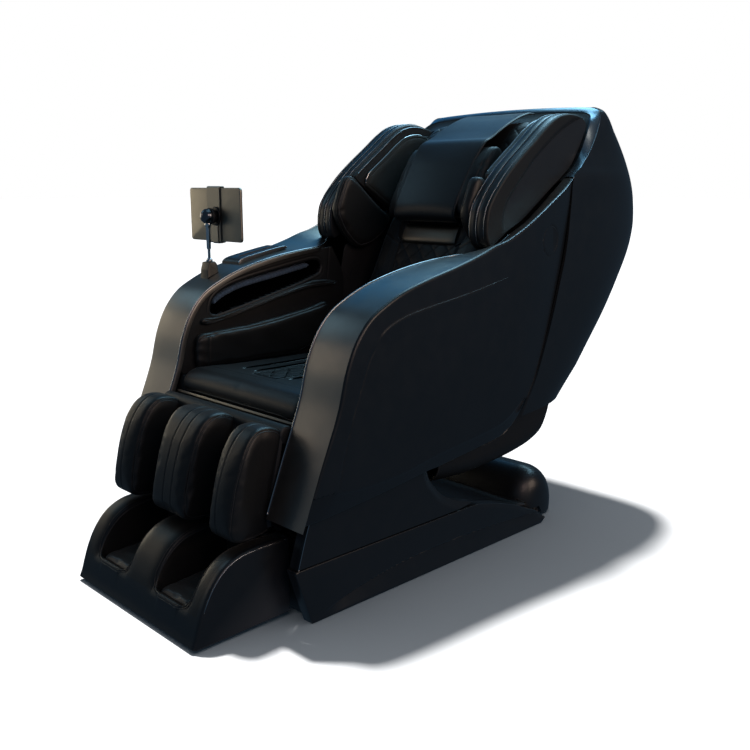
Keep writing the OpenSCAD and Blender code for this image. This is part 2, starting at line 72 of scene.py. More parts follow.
def area(name, loc, target, size, power, color, size_y=None):
    l = bpy.data.lights.new(name, "AREA")
    l.shape = "RECTANGLE"
    l.size = size
    l.size_y = size_y or size
    l.energy = power
    l.color = color
    o = bpy.data.objects.new(name, l)
    o.location = loc
    d = Vector(target) - Vector(loc)
    o.rotation_euler = d.to_track_quat("-Z", "Y").to_euler()
    scene.collection.objects.link(o)
    return o


only_floor = bpy.data.collections.new("lit_floor")
only_chair = bpy.data.collections.new("lit_chair")

sun_data = bpy.data.lights.new("sun", "SUN")
sun_data.energy = 5.0
sun_data.angle = math.radians(5.0)
sun = bpy.data.objects.new("sun", sun_data)
sun.rotation_euler = Vector((0.29, -0.176, -1.0)).to_track_quat("-Z", "Y").to_euler()
scene.collection.objects.link(sun)
sun.light_linking.receiver_collection = only_floor

for o in (area("warm_front", (-3.5, -3.2, 2.1), (0, 0, 0.6), 1.8, 6.0, (1.0, 0.82, 0.63), 1.6),
          area("cool_left", (-4.2, -1.2, 3.6), (0, 0, 0.5), 1.8, 7.9, (0.48, 0.80, 1.0), 1.6),
          area("warm_low", (-3.6, -3.4, 0.9), (0, 0, 0.4), 1.6, 0.8, (0.9, 1.0, 0.9), 0.9),
          area("left_back", (-3.4, 2.6, 3.6), (0, 0, 0.7), 2.4, 7.2, (0.0, 0.40, 1.0), 2.0),
          area("left_low", (-4.2, -0.6, 1.2), (0, 0, 0.6), 2.2, 24.0, (1.0, 0.87, 0.64), 1.4),
          area("right_front", (4.4, -1.6, 3.0), (0, 0, 0.6), 2.0, 26.0, (1.0, 0.72, 0.64), 2.0),
          area("side_back", (4.8, 1.2, 2.6), (0, 0, 0.6), 2.4, 58.0, (1.0, 0.76, 0.60), 2.2),
          area("top", (0, 0.2, 5.0), (0, 0, 0.5), 2.6, 12.0, (0.40, 0.78, 1.0), 2.6),
          area("top_back", (-0.3, 2.6, 4.2), (0, 0.2, 0.8), 3.6, 133.0, (0.42, 0.78, 1.0), 2.4)):
    o.light_linking.receiver_collection = only_chair
fill = area("fill_floor", (0, 0, 5), (0, 0, 0), 10, 113, (1, 1, 1), 10)
fill.light_linking.receiver_collection = only_floor

world = bpy.data.worlds.new("studio")
scene.world = world
world.use_nodes = True
wn, wl = world.node_tree.nodes, world.node_tree.links
wn.clear()
w_out = wn.new("ShaderNodeOutputWorld")
w_mix = wn.new("ShaderNodeMixShader")
w_path = wn.new("ShaderNodeLightPath")
w_seen = wn.new("ShaderNodeBackground")
w_seen.inputs["Color"].default_value = (1, 1, 1, 1)
w_seen.inputs["Strength"].default_value = 1.0
w_amb = wn.new("ShaderNodeBackground")
w_amb.inputs["Color"].default_value = (0.40, 0.68, 1.0, 1)
w_amb.inputs["Strength"].default_value = 0.10
wl.new(w_path.outputs["Is Camera Ray"], w_mix.inputs[0])
wl.new(w_amb.outputs[0], w_mix.inputs[1])
wl.new(w_seen.outputs[0], w_mix.inputs[2])
wl.new(w_mix.outputs[0], w_out.inputs["Surface"])


# ------------------------------------------------------------------ materials
def new_mat(name):
    m = bpy.data.materials.new(name)
    m.use_nodes = True
    nt = m.node_tree
    nt.nodes.clear()
    out = nt.nodes.new("ShaderNodeOutputMaterial")
    b = nt.nodes.new("ShaderNodeBsdfPrincipled")
    nt.links.new(b.outputs[0], out.inputs["Surface"])
    return m, nt, b


def coords(nt, scale=(1, 1, 1)):
    t = nt.nodes.new("ShaderNodeTexCoord")
    mp = nt.nodes.new("ShaderNodeMapping")
    mp.inputs["Scale"].default_value = scale
    nt.links.new(t.outputs["Object"], mp.inputs["Vector"])
    return mp.outputs[0]


def noise(nt, vec, scale, detail=3.0, rough=0.55):
    n = nt.nodes.new("ShaderNodeTexNoise")
    n.inputs["Scale"].default_value = scale
    n.inputs["Detail"].default_value = detail
    n.inputs["Roughness"].default_value = rough
    nt.links.new(vec, n.inputs["Vector"])
    return n.outputs["Fac"]


def voronoi(nt, vec, scale, feature="F1", rand=1.0):
    n = nt.nodes.new("ShaderNodeTexVoronoi")
    n.feature = feature
    n.inputs["Scale"].default_value = scale
    n.inputs["Randomness"].default_value = rand
    nt.links.new(vec, n.inputs["Vector"])
    return n.outputs["Distance"]


def ramp(nt, fac, stops):
    r = nt.nodes.new("ShaderNodeValToRGB")
    el = r.color_ramp.elements
    while len(el) < len(stops):
        el.new(0.5)
    for e, (p, c) in zip(el, stops):
        e.position = p
        e.color = (*c, 1) if len(c) == 3 else c
    nt.links.new(fac, r.inputs[0])
    return r.outputs[0]


def vmap(nt, fac, a0, a1, b0, b1):
    n = nt.nodes.new("ShaderNodeMapRange")
    n.inputs[1].default_value, n.inputs[2].default_value = a0, a1
    n.inputs[3].default_value, n.inputs[4].default_value = b0, b1
    nt.links.new(fac, n.inputs[0])
    return n.outputs[0]


def mix_col(nt, fac, c1, c2):
    n = nt.nodes.new("ShaderNodeMix")
    n.data_type = "RGBA"
    for i, c in ((6, c1), (7, c2)):
        if isinstance(c, tuple):
            n.inputs[i].default_value = (*c, 1)
        else:
            nt.links.new(c, n.inputs[i])
    if isinstance(fac, float):
        n.inputs[0].default_value = fac
    else:
        nt.links.new(fac, n.inputs[0])
    return n.outputs[2]


def math_n(nt, op, a, b=0.0):
    n = nt.nodes.new("ShaderNodeMath")
    n.operation = op
    for i, v in enumerate((a, b)):
        if isinstance(v, (int, float)):
            n.inputs[i].default_value = v
        else:
            nt.links.new(v, n.inputs[i])
    return n.outputs[0]


def bump(nt, b, height, strength, dist, prev=None):
    n = nt.nodes.new("ShaderNodeBump")
    n.inputs["Strength"].default_value = strength
    n.inputs["Distance"].default_value = dist
    nt.links.new(height, n.inputs["Height"])
    if prev is not None:
        nt.links.new(prev, n.inputs["Normal"])
    nt.links.new(n.outputs[0], b.inputs["Normal"])
    return n.outputs[0]


def edge_wear(nt):
    """1 on sharp convex edges, from the mesh's own curvature."""
    g = nt.nodes.new("ShaderNodeNewGeometry")
    return vmap(nt, g.outputs["Pointiness"], 0.52, 0.60, 0.0, 1.0)


def m_plastic(name, col, rough=0.34, grain=0.35, coat=0.0, metallic=0.0, wear=(0.10, 0.10, 0.105), spec=0.5, fleck=0.0):
    m, nt, b = new_mat(name)
    v = coords(nt)
    n1 = noise(nt, v, 3.2, 4)
    n2 = noise(nt, v, 1400, 1)
    tone = mix_col(nt, vmap(nt, n1, 0.3, 0.7, 0, 1), tuple(c * 0.86 for c in col), tuple(min(1, c * 1.14) for c in col))
    if fleck:
        f = voronoi(nt, v, 900)
        tone = mix_col(nt, vmap(nt, f, 0.0, 0.22, fleck, 0.0), tone, tuple(min(1, c * 2.4 + 0.02) for c in col))
    nt.links.new(mix_col(nt, math_n(nt, "MULTIPLY", edge_wear(nt), 0.35), tone, wear), b.inputs["Base Color"])
    b.inputs["Metallic"].default_value = metallic
    nt.links.new(vmap(nt, noise(nt, v, 26, 4), 0.3, 0.7, rough - 0.035, rough + 0.035), b.inputs["Roughness"])
    b.inputs["Specular IOR Level"].default_value = spec
    b.inputs["Coat Weight"].default_value = coat
    b.inputs["Coat Roughness"].default_value = 0.16
    bump(nt, b, n2, grain * 0.25, 0.0004)
    return m


def m_leather(name, col, rough=0.42, scale=520, crease=0.5, sheen=0.05):
    m, nt, b = new_mat(name)
    v = coords(nt)
    wob = noise(nt, v, 60, 2)
    cells = voronoi(nt, v, scale, "F1")
    cells2 = voronoi(nt, v, scale * 2.3, "F1")
    big = noise(nt, v, 9, 4)
    fine = noise(nt, v, 240, 3)
    h = math_n(nt, "ADD", math_n(nt, "MULTIPLY", cells, 1.0), math_n(nt, "MULTIPLY", cells2, 0.4))
    h = math_n(nt, "ADD", h, math_n(nt, "MULTIPLY", wob, 0.35))
    tone = mix_col(nt, vmap(nt, big, 0.3, 0.7, 0, 1), tuple(c * 0.92 for c in col), tuple(min(1, c * 1.1) for c in col))
    tone = mix_col(nt, vmap(nt, cells, 0.0, 0.6, 0.35, 0.0), tone, tuple(c * 0.55 for c in col))
    nt.links.new(mix_col(nt, math_n(nt, "MULTIPLY", edge_wear(nt), 0.25), tone, (0.09, 0.088, 0.085)), b.inputs["Base Color"])
    nt.links.new(vmap(nt, math_n(nt, "ADD", math_n(nt, "MULTIPLY", big, 0.6), math_n(nt, "MULTIPLY", fine, 0.4)), 0.3, 0.7, rough - 0.025, rough + 0.03), b.inputs["Roughness"])
    b.inputs["Specular IOR Level"].default_value = 0.48
    b.inputs["Sheen Weight"].default_value = sheen
    b.inputs["Sheen Roughness"].default_value = 0.4
    n1 = bump(nt, b, h, 0.16, 0.0005)
    wr = noise(nt, coords(nt, (1.0, 2.4, 0.8)), 22, 5, 0.6)
    bump(nt, b, wr, crease * 0.12, 0.0018, n1)
    return m


def m_metal(name, col, rough=0.15, brushed=0.0):
    m, nt, b = new_mat(name)
    v = coords(nt, (1, 1, 1) if not brushed else (1, 1, 60))
    n = noise(nt, v, 30, 4)
    nt.links.new(mix_col(nt, vmap(nt, n, 0.3, 0.7, 0, 1), tuple(c * 0.92 for c in col), col), b.inputs["Base Color"])
    b.inputs["Metallic"].default_value = 1.0
    nt.links.new(vmap(nt, noise(nt, v, 90, 3), 0.3, 0.7, max(0.02, rough - 0.04), rough + 0.05), b.inputs["Roughness"])
    bump(nt, b, n, 0.05 + brushed * 0.2, 0.0002)
    return m


def m_mesh(name, col, pitch=0.0042):
    """Perforated cover: rows of small holes, bumped in and painted near black as painted shade inside them."""
    m, nt, b = new_mat(name)
    v = coords(nt)
    sep = nt.nodes.new("ShaderNodeSeparateXYZ")
    nt.links.new(v, sep.inputs[0])
    yy = math_n(nt, "MULTIPLY", sep.outputs[1], 1.0 / pitch)
    zz = math_n(nt, "MULTIPLY", sep.outputs[2], 1.0 / pitch)
    u = math_n(nt, "ADD", yy, zz)
    w = math_n(nt, "SUBTRACT", yy, zz)
    su = math_n(nt, "SINE", math_n(nt, "MULTIPLY", u, math.pi))
    sw = math_n(nt, "SINE", math_n(nt, "MULTIPLY", w, math.pi))
    hole = math_n(nt, "MULTIPLY", math_n(nt, "MULTIPLY", su, su), math_n(nt, "MULTIPLY", sw, sw))
    k = vmap(nt, hole, 0.35, 0.65, 0.0, 1.0)
    g = noise(nt, v, 500, 3)
    tone = mix_col(nt, vmap(nt, g, 0.3, 0.7, 0, 1), tuple(c * 0.8 for c in col), tuple(c * 1.25 for c in col))
    # holes painted near black: painted shade inside the holes
    nt.links.new(mix_col(nt, k, tone, (0.002, 0.002, 0.002)), b.inputs["Base Color"])
    b.inputs["Roughness"].default_value = 0.62
    h = math_n(nt, "SUBTRACT", math_n(nt, "MULTIPLY", g, 0.2), k)
    bump(nt, b, h, 0.7, 0.0012)
    return m


def m_weave(name, col, pitch=0.0022):
    m, nt, b = new_mat(name)
    v = coords(nt)
    sep = nt.nodes.new("ShaderNodeSeparateXYZ")
    nt.links.new(v, sep.inputs[0])
    a = math_n(nt, "SINE", math_n(nt, "MULTIPLY", sep.outputs[1], 2 * math.pi / pitch))
    c = math_n(nt, "SINE", math_n(nt, "MULTIPLY", math_n(nt, "ADD", sep.outputs[0], sep.outputs[2]), 2 * math.pi / pitch))
    h = math_n(nt, "MULTIPLY", a, c)
    g = noise(nt, v, 60, 3)
    tone = mix_col(nt, vmap(nt, g, 0.3, 0.7, 0, 1), tuple(x * 0.75 for x in col), tuple(x * 1.3 for x in col))
    nt.links.new(mix_col(nt, vmap(nt, h, -1, 1, 0, 0.6), tone, tuple(x * 0.4 for x in col)), b.inputs["Base Color"])
    b.inputs["Roughness"].default_value = 0.7
    b.inputs["Sheen Weight"].default_value = 0.15
    bump(nt, b, h, 0.5, 0.0008)
    return m


M_SHELL = m_plastic("satin_shell", (0.0085, 0.0105, 0.0135), 0.36, coat=0.15)
M_BAND = m_plastic("satin_band", (0.25, 0.24, 0.225), 0.36, metallic=1.0, fleck=0.12, wear=(0.45, 0.44, 0.42))
M_LINER = m_plastic("moulded_liner", (0.010, 0.0105, 0.0115), 0.50, grain=1.0)
M_DARK = m_plastic("moulded_dark", (0.006, 0.0062, 0.0068), 0.55, grain=1.0)
# bright metal for thin tubes along edges: painted highlight lines where the real edges catch light
M_TRIM_HIGHLIGHT = m_metal("trim_painted_highlight", (0.42, 0.44, 0.47), 0.22)
# blue tint of this metal paints the blue reflection of the overhead light on the rim
M_BLUE_SHEEN = m_plastic("satin_strip_painted_blue_sheen", (0.16, 0.22, 0.27), 0.30, metallic=1.0, coat=0.2)
M_LEATHER = m_leather("black_leather", (0.010, 0.0100, 0.0102))
M_LEATHER2 = m_leather("flap_leather", (0.011, 0.0135, 0.017), 0.36, 620, 0.3)
M_PIPING = m_leather("piping", (0.022, 0.022, 0.023), 0.36, 700, 0.2)
M_THREAD = m_weave("thread", (0.028, 0.028, 0.030), 0.0009)
M_MESH = m_mesh("speaker_mesh", (0.022, 0.026, 0.024))
M_MESH2 = m_mesh("speaker_strip", (0.007, 0.007, 0.0075), 0.0030)
M_GLASS = m_plastic("screen_glass", (0.003, 0.003, 0.004), 0.07, grain=0.02, coat=0.6)
# blue, lightened fabric colour: painted light for the blue-lit ribs in the trough's shade
M_AIRBAG_LIT = m_weave("airbag_fabric", (0.070, 0.125, 0.21))
M_CHAMP = m_plastic("champagne", (0.46, 0.42, 0.35), 0.38, metallic=1.0, fleck=0.2, wear=(0.5, 0.48, 0.42))
M_CHAMP2 = m_plastic("champagne_dark", (0.33, 0.305, 0.26), 0.40, metallic=1.0, fleck=0.2, wear=(0.45, 0.43, 0.38))
M_CHROME = m_metal("chrome", (0.85, 0.86, 0.88), 0.06)
M_STEEL = m_metal("ground_steel", (0.52, 0.53, 0.54), 0.24, 0.6)
M_ALU = m_metal("extruded_alloy", (0.48, 0.49, 0.51), 0.34, 1.0)
M_FRAME = m_plastic("powder_coat", (0.028, 0.030, 0.033), 0.48, grain=2.2, wear=(0.12, 0.12, 0.12))
M_RUBBER = m_plastic("rubber", (0.012, 0.012, 0.012), 0.72, grain=1.6)
# warm metal colour on the leather lip paints the warm sheen of light on it
M_LIP_SHEEN = m_plastic("neck_lip_painted_sheen", (0.25, 0.22, 0.18), 0.42, metallic=1.0, wear=(0.3, 0.3, 0.3))
# flat black without gloss for slots, quilting lines and the trough: painted shade in those recesses
M_SHADE_BLACK = m_plastic("painted_shade_black", (0.001, 0.001, 0.0013), 0.95, grain=0.2, spec=0.0, wear=(0.001, 0.001, 0.001))
M_TABLET = m_plastic("tablet_back", (0.33, 0.30, 0.25), 0.42, metallic=1.0, fleck=0.15, wear=(0.4, 0.38, 0.34))
M_HOLD = m_plastic("holder_metal", (0.13, 0.122, 0.11), 0.45, metallic=1.0, wear=(0.2, 0.19, 0.18))
# lighter leather colour paints the sky's reflection on the sole, warmed to offset the blue lamps
M_SOLE_SHEEN = m_leather("sole_leather_painted_sheen", (0.046, 0.040, 0.036), 0.38)
M_WING = m_leather("wing_leather", (0.0085, 0.0086, 0.009), 0.52)
M_FINE = m_plastic("fine_piping", (0.075, 0.078, 0.083), 0.36, grain=0.2)
M_SOCKET = m_plastic("socket_plastic", (0.006, 0.006, 0.0065), 0.42, grain=0.8)
M_BALL = m_metal("dark_ball", (0.16, 0.17, 0.19), 0.18)

floor_mat, nt, b = new_mat("floor")
v = coords(nt)
nt.links.new(mix_col(nt, vmap(nt, noise(nt, v, 0.8, 3), 0.3, 0.7, 0, 1), (0.80, 0.80, 0.80), (0.82, 0.82, 0.82)), b.inputs["Base Color"])
b.inputs["Roughness"].default_value = 0.9
b.inputs["Specular IOR Level"].default_value = 0.1
me = bpy.data.meshes.new("floor")
me.from_pydata([(-60, -60, 0), (60, -60, 0), (60, 60, 0), (-60, 60, 0)], [], [(0, 1, 2, 3)])
floor = bpy.data.objects.new("floor", me)
me.materials.append(floor_mat)
scene.collection.objects.link(floor)
only_floor.objects.link(floor)
floor.visible_diffuse = False
floor.visible_glossy = False


# ------------------------------------------------------------------ mesh tools (lengths in millimetres)
def make(name, verts, faces, mat, body, sharp=35, merge=0.0):
    me = bpy.data.meshes.new(name)
    me.from_pydata([tuple(float(c) * MM for c in v) for v in verts], [], [tuple(int(i) for i in f) for f in faces])
    me.validate()
    if merge:
        bm = bmesh.new(); bm.from_mesh(me)
        bmesh.ops.remove_doubles(bm, verts=bm.verts, dist=merge * MM)
        bmesh.ops.recalc_face_normals(bm, faces=bm.faces)
        bm.to_mesh(me); bm.free()
    for p in me.polygons:
        p.use_smooth = True
    if sharp:
        me.set_sharp_from_angle(angle=math.radians(sharp))
    me.materials.append(mat)
    ob = bpy.data.objects.new(name, me)
    scene.collection.objects.link(ob)
    if body:
        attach(ob, body)
    return ob


def rs(P, n, closed=False):
    """Points at even steps along a polyline."""
    P = np.asarray(P, float)
    if closed:
        P = np.vstack([P, P[:1]])
    d = np.r_[0, np.cumsum(np.linalg.norm(np.diff(P, axis=0), axis=1))]
    t = np.linspace(0, d[-1], n + 1)[:-1] if closed else np.linspace(0, d[-1], n)
    return np.stack([np.interp(t, d, P[:, k]) for k in range(P.shape[1])], 1)


def sp(P, n, closed=False):
    """Centripetal Catmull-Rom through P, n points at even steps."""
    P = np.asarray(P, float)
    Q = np.vstack([P[-1], P, P[0], P[1]]) if closed else np.vstack([2 * P[0] - P[1], P, 2 * P[-1] - P[-2]])
    out = []
    for i in range(1, len(Q) - 2):
        p0, p1, p2, p3 = Q[i - 1:i + 3]
        t0 = 0.0
        t1 = t0 + max(np.linalg.norm(p1 - p0), 1e-6) ** 0.5
        t2 = t1 + max(np.linalg.norm(p2 - p1), 1e-6) ** 0.5
        t3 = t2 + max(np.linalg.norm(p3 - p2), 1e-6) ** 0.5
        t = np.linspace(t1, t2, 14, endpoint=False)[:, None]
        a1 = (t1 - t) / (t1 - t0) * p0 + (t - t0) / (t1 - t0) * p1
        a2 = (t2 - t) / (t2 - t1) * p1 + (t - t1) / (t2 - t1) * p2
        a3 = (t3 - t) / (t3 - t2) * p2 + (t - t2) / (t3 - t2) * p3
        b1 = (t2 - t) / (t2 - t0) * a1 + (t - t0) / (t2 - t0) * a2
        b2 = (t3 - t) / (t3 - t1) * a2 + (t - t1) / (t3 - t1) * a3
        out.append((t2 - t) / (t2 - t1) * b1 + (t - t1) / (t2 - t1) * b2)
    out = np.vstack(out)
    if not closed:
        out = np.vstack([out, P[-1]])
    return rs(out, n, closed)


def chaikin(P, k=3, closed=True, q=0.25):
    P = np.asarray(P, float)
    for _ in range(k):
        if closed:
            Q = np.roll(P, -1, 0)
            P = np.stack([P * (1 - q) + Q * q, P * q + Q * (1 - q)], 1).reshape(-1, P.shape[1])
        else:
            A, B = P[:-1], P[1:]
            M = np.stack([A * (1 - q) + B * q, A * q + B * (1 - q)], 1).reshape(-1, P.shape[1])
            P = np.vstack([P[:1], M[1:-1], P[-1:]])
    return P


def grid_faces(nu, nv, cu=False, cv=False, base=0, flip=False):
    f = []
    for i in range(nu if cu else nu - 1):
        for j in range(nv if cv else nv - 1):
            a, b_ = i * nv + j, i * nv + (j + 1) % nv
            c, d = ((i + 1) % nu) * nv + (j + 1) % nv, ((i + 1) % nu) * nv + j
            q = (a, b_, c, d) if not flip else (a, d, c, b_)
            f.append(tuple(x + base for x in q))
    return f


def mir(P):
    P = np.array(P, float).copy()
    P[..., 0] *= -1
    return P


def grid(name, G, mat, body, cu=False, cv=False, flip=False, sharp=35, caps=False, merge=0.0):
    G = np.asarray(G, float)
    nu, nv = G.shape[:2]
    V = G.reshape(-1, 3)
    F = grid_faces(nu, nv, cu, cv, flip=flip)
    if caps:
        F = F + [tuple(range(nv))[:: -1 if not flip else 1], tuple((nu - 1) * nv + j for j in range(nv))[:: 1 if not flip else -1]]
    return make(name, V, F, mat, body, sharp, merge)


def tube_mesh(P, r, k=8, closed=False, caps=True, flat=1.0, up=None):
    """Verts and faces of a tube along P; r may vary along it."""
    P = np.asarray(P, float)
    n = len(P)
    R = np.full(n, float(r)) if np.isscalar(r) else np.asarray(r, float)
    T = np.roll(P, -1, 0) - np.roll(P, 1, 0) if closed else np.gradient(P, axis=0)
    T /= np.linalg.norm(T, axis=1)[:, None] + 1e-12
    N = np.zeros_like(P)
    ref = np.array(up if up is not None else ([0, 0, 1] if abs(T[0][2]) < 0.9 else [1, 0, 0]), float)
    N[0] = ref - T[0] * (ref @ T[0]); N[0] /= np.linalg.norm(N[0])
    for i in range(1, n):
        w = N[i - 1] - T[i] * (N[i - 1] @ T[i])
        N[i] = w / (np.linalg.norm(w) + 1e-12)
    B = np.cross(T, N)
    a = np.linspace(0, 2 * math.pi, k, endpoint=False)
    V = P[:, None, :] + R[:, None, None] * (np.cos(a)[None, :, None] * N[:, None, :] * flat + np.sin(a)[None, :, None] * B[:, None, :])
    F = grid_faces(n, k, closed, True)
    V = V.reshape(-1, 3)
    if caps and not closed:
        F = F + [tuple(range(k)), tuple((n - 1) * k + j for j in range(k))[::-1]]
    return V, F


def pipe(name, P, r, mat, body, slot=None, k=8, closed=False, step=4.0, flat=1.0, smooth=True):
    P = np.asarray(P, float)
    L = np.linalg.norm(np.diff(P, axis=0), axis=1).sum()
    n = max(8, int(L / step))
    Q = sp(P, n, closed) if smooth else rs(P, n, closed)
    V, F = tube_mesh(Q, r, k, closed, flat=flat)
    return make(name, V, F, mat, body, None)


def join_parts(name, parts, mat, body, sharp=35):
    V, F, o = [], [], 0
    for v, f in parts:
        V.append(np.asarray(v, float))
        F += [tuple(i + o for i in q) for q in f]
        o += len(v)
    return make(name, np.vstack(V), F, mat, body, sharp)


def bvh(ob):
    dg = bpy.context.evaluated_depsgraph_get()
    e = ob.evaluated_get(dg)
    return BVHTree.FromObject(ob, dg)


def snap(P, tree, lift=0.0, reach=60.0):
    """Points moved onto the nearest surface, then lifted off it."""
    out = []
    for p in np.asarray(P, float):
        hit, nrm, idx, dist = tree.find_nearest(Vector(p * MM), reach * MM)
        out.append(np.array(hit) / MM + np.array(nrm) * lift if hit is not None else p)
    return np.array(out)


def stitches(name, P, body, pitch=7.0, length=4.4, r=0.55, mat=None, closed=False):
    """A row of sewn stitches along P."""
    P = np.asarray(P, float)
    L = np.linalg.norm(np.diff(P, axis=0), axis=1).sum()
    n = max(2, int(L / pitch))
    Q = rs(P, n * 4 + 1)
    parts = []
    for i in range(n):
        a, b_ = Q[i * 4], Q[min(i * 4 + 3, len(Q) - 1)]
        d = b_ - a
        w = np.linalg.norm(d)
        if w < 1e-6:
            continue
        m = (a + b_) / 2
        d = d / w * min(length, w) / 2
        pts = np.array([m - d, m - d * 0.6, m + d * 0.6, m + d])
        parts.append(tube_mesh(pts, [r * 0.35, r, r, r * 0.35], 5))
    return join_parts(name, parts, mat or M_THREAD, body, None)


def sdf(Y, Z, poly, closed=False):
    """Distance to a polyline in (y, z), and the parameter of the nearest point."""
    poly = np.asarray(poly, float)
    A = poly if closed else poly[:-1]
    B = np.roll(poly, -1, 0) if closed else poly[1:]
    best = np.full(np.shape(Y), 1e9)
    par = np.zeros(np.shape(Y))
    for i, (a, b_) in enumerate(zip(A, B)):
        d = b_ - a
        t = np.clip(((Y - a[0]) * d[0] + (Z - a[1]) * d[1]) / (d @ d + 1e-12), 0, 1)
        q = np.hypot(Y - a[0] - t * d[0], Z - a[1] - t * d[1])
        m = q < best
        best = np.where(m, q, best)
        par = np.where(m, (i + t) / len(A), par)
    return best, par


def inside(Y, Z, poly):
    poly = np.asarray(poly, float)
    c = np.zeros(np.shape(Y), bool)
    for (y0, z0), (y1, z1) in zip(poly, np.roll(poly, -1, 0)):
        hit = ((z0 > Z) != (z1 > Z)) & (Y < (y1 - y0) * (Z - z0) / (z1 - z0 + 1e-12) + y0)
        c ^= hit
    return c


def sstep(x, a, b_):
    t = np.clip((x - a) / (b_ - a), 0, 1)
    return t * t * (3 - 2 * t)


def coons(L, T, R, B, nu, nv, us=None, vs=None):
    """Patch between four curves: L and R run up, B and T run left to right. Returns [nu][nv]."""
    us = np.linspace(0, 1, nu) if us is None else us
    vs = np.linspace(0, 1, nv) if vs is None else vs
    def at(C, t):
        C = np.asarray(C, float)
        d = np.r_[0, np.cumsum(np.linalg.norm(np.diff(C, axis=0), axis=1))]
        d /= d[-1]
        return np.stack([np.interp(t, d, C[:, k]) for k in range(C.shape[1])], 1)
    b_, t, l, r = at(B, us), at(T, us), at(L, vs), at(R, vs)
    U, V = us[:, None, None], vs[None, :, None]
    return ((1 - V) * b_[:, None] + V * t[:, None] + (1 - U) * l[None] + U * r[None]
            - ((1 - U) * (1 - V) * b_[0] + U * (1 - V) * b_[-1] + (1 - U) * V * t[0] + U * V * t[-1]))


def ease(n, e, k=6, first=True, last=True):
    """0..1 in n steps, packed near the ends for a rounded edge of relative width e."""
    t = np.linspace(0, 1, n)
    a = e * (1 - np.cos(np.linspace(0, math.pi / 2, k)))
    out = t
    if first:
        out = np.r_[a, np.linspace(e, 1, n)[1:]]
    if last:
        m = out[out < 1 - e]
        out = np.r_[m, 1 - a[::-1]]
    return out


def remesh(ob, size=5.0):
    m = ob.modifiers.new("r", "REMESH")
    m.mode = "VOXEL"
    m.voxel_size = size * MM
    apply_mods(ob)


def apply_mods(ob):
    dg = bpy.context.evaluated_depsgraph_get()
    me = bpy.data.meshes.new_from_object(ob.evaluated_get(dg))
    old = ob.data
    ob.modifiers.clear()
    ob.data = me
    bpy.data.meshes.remove(old)


def relax(ob, n, f=0.5):
    """Rounds the edges of a dense mesh."""
    me = ob.data
    V = np.zeros(len(me.vertices) * 3); me.vertices.foreach_get("co", V); V = V.reshape(-1, 3)
    E = np.zeros(len(me.edges) * 2, int); me.edges.foreach_get("vertices", E); E = E.reshape(-1, 2)
    deg = np.bincount(E.ravel(), minlength=len(V))[:, None]
    for _ in range(n):
        S = np.zeros_like(V)
        np.add.at(S, E[:, 0], V[E[:, 1]])
        np.add.at(S, E[:, 1], V[E[:, 0]])
        V += f * (S / np.maximum(deg, 1) - V)
    me.vertices.foreach_set("co", V.ravel())
    me.update()


def cloth(ob, pressure=4.0, cap=10.0, frames=20, shrink=0.0, stiff=15.0, pin=None):
    """Inflates a closed mesh with Blender's cloth, and caps how far a point moves."""
    me = ob.data
    rest = np.zeros(len(me.vertices) * 3); me.vertices.foreach_get("co", rest); rest = rest.reshape(-1, 3)
    m = ob.modifiers.new("cloth", "CLOTH")
    s = m.settings
    s.quality = 4
    s.mass = 0.3
    s.use_pressure = True
    s.uniform_pressure_force = pressure
    s.tension_stiffness = s.compression_stiffness = s.shear_stiffness = stiff
    s.bending_stiffness = 0.6
    s.effector_weights.gravity = 0.0
    if shrink:
        s.shrink_min = shrink
    if pin is not None:
        g = ob.vertex_groups.new(name="pin")
        for i in np.nonzero(pin(rest / MM))[0]:
            g.add([int(i)], 1.0, "REPLACE")
        s.vertex_group_mass = "pin"
    m.collision_settings.use_collision = False
    m.point_cache.frame_start, m.point_cache.frame_end = 1, frames
    for f in range(1, frames + 1):
        scene.frame_set(f)
    dg = bpy.context.evaluated_depsgraph_get()
    e = ob.evaluated_get(dg).to_mesh()
    now = np.zeros(len(e.vertices) * 3); e.vertices.foreach_get("co", now); now = now.reshape(-1, 3)
    d = now - rest
    w = np.linalg.norm(d, axis=1)[:, None]
    d *= np.minimum(1.0, cap * MM / np.maximum(w, 1e-9))
    ob.evaluated_get(dg).to_mesh_clear()
    ob.modifiers.clear()
    ob.vertex_groups.clear()
    me.vertices.foreach_set("co", (rest + np.nan_to_num(d)).ravel())
    me.update()
    scene.frame_set(1)


def subdiv(ob, n=1):
    m = ob.modifiers.new("s", "SUBSURF")
    m.levels = m.render_levels = n
    apply_mods(ob)


def push(ob, fn):
    """Moves every vertex along its normal by fn(x, y, z, normals), in mm, plus outwards."""
    me = ob.data
    n = len(me.vertices)
    V = np.zeros(n * 3); me.vertices.foreach_get("co", V); V = V.reshape(-1, 3)
    N = np.zeros(n * 3); me.vertex_normals.foreach_get("vector", N); N = N.reshape(-1, 3)
    d = fn(V[:, 0] / MM, V[:, 1] / MM, V[:, 2] / MM, N)
    me.vertices.foreach_set("co", (V + N * (d * MM)[:, None]).ravel())
    me.update()


def warp(ob, fn):
    """Replaces every vertex by fn(points in mm)."""
    me = ob.data
    V = np.zeros(len(me.vertices) * 3); me.vertices.foreach_get("co", V); V = V.reshape(-1, 3) / MM
    me.vertices.foreach_set("co", (fn(V) * MM).ravel())
    me.update()


def solid_parts(name, parts, mat):
    """A closed mesh from (outline, x0, x1) prisms, as the start of a soft piece."""
    V, F, o = [], [], 0
    for prof, x0, x1 in parts:
        P = np.asarray(prof, float)
        n = len(P)
        for x in (x0, x1):
            V += [(x, p[0], p[1]) for p in P]
        F += [(o + i, o + (i + 1) % n, o + n + (i + 1) % n, o + n + i) for i in range(n)]
        F += [tuple(o + i for i in range(n))[::-1], tuple(o + n + i for i in range(n))]
        o += 2 * n
    return make(name, V, F, mat, None, None)


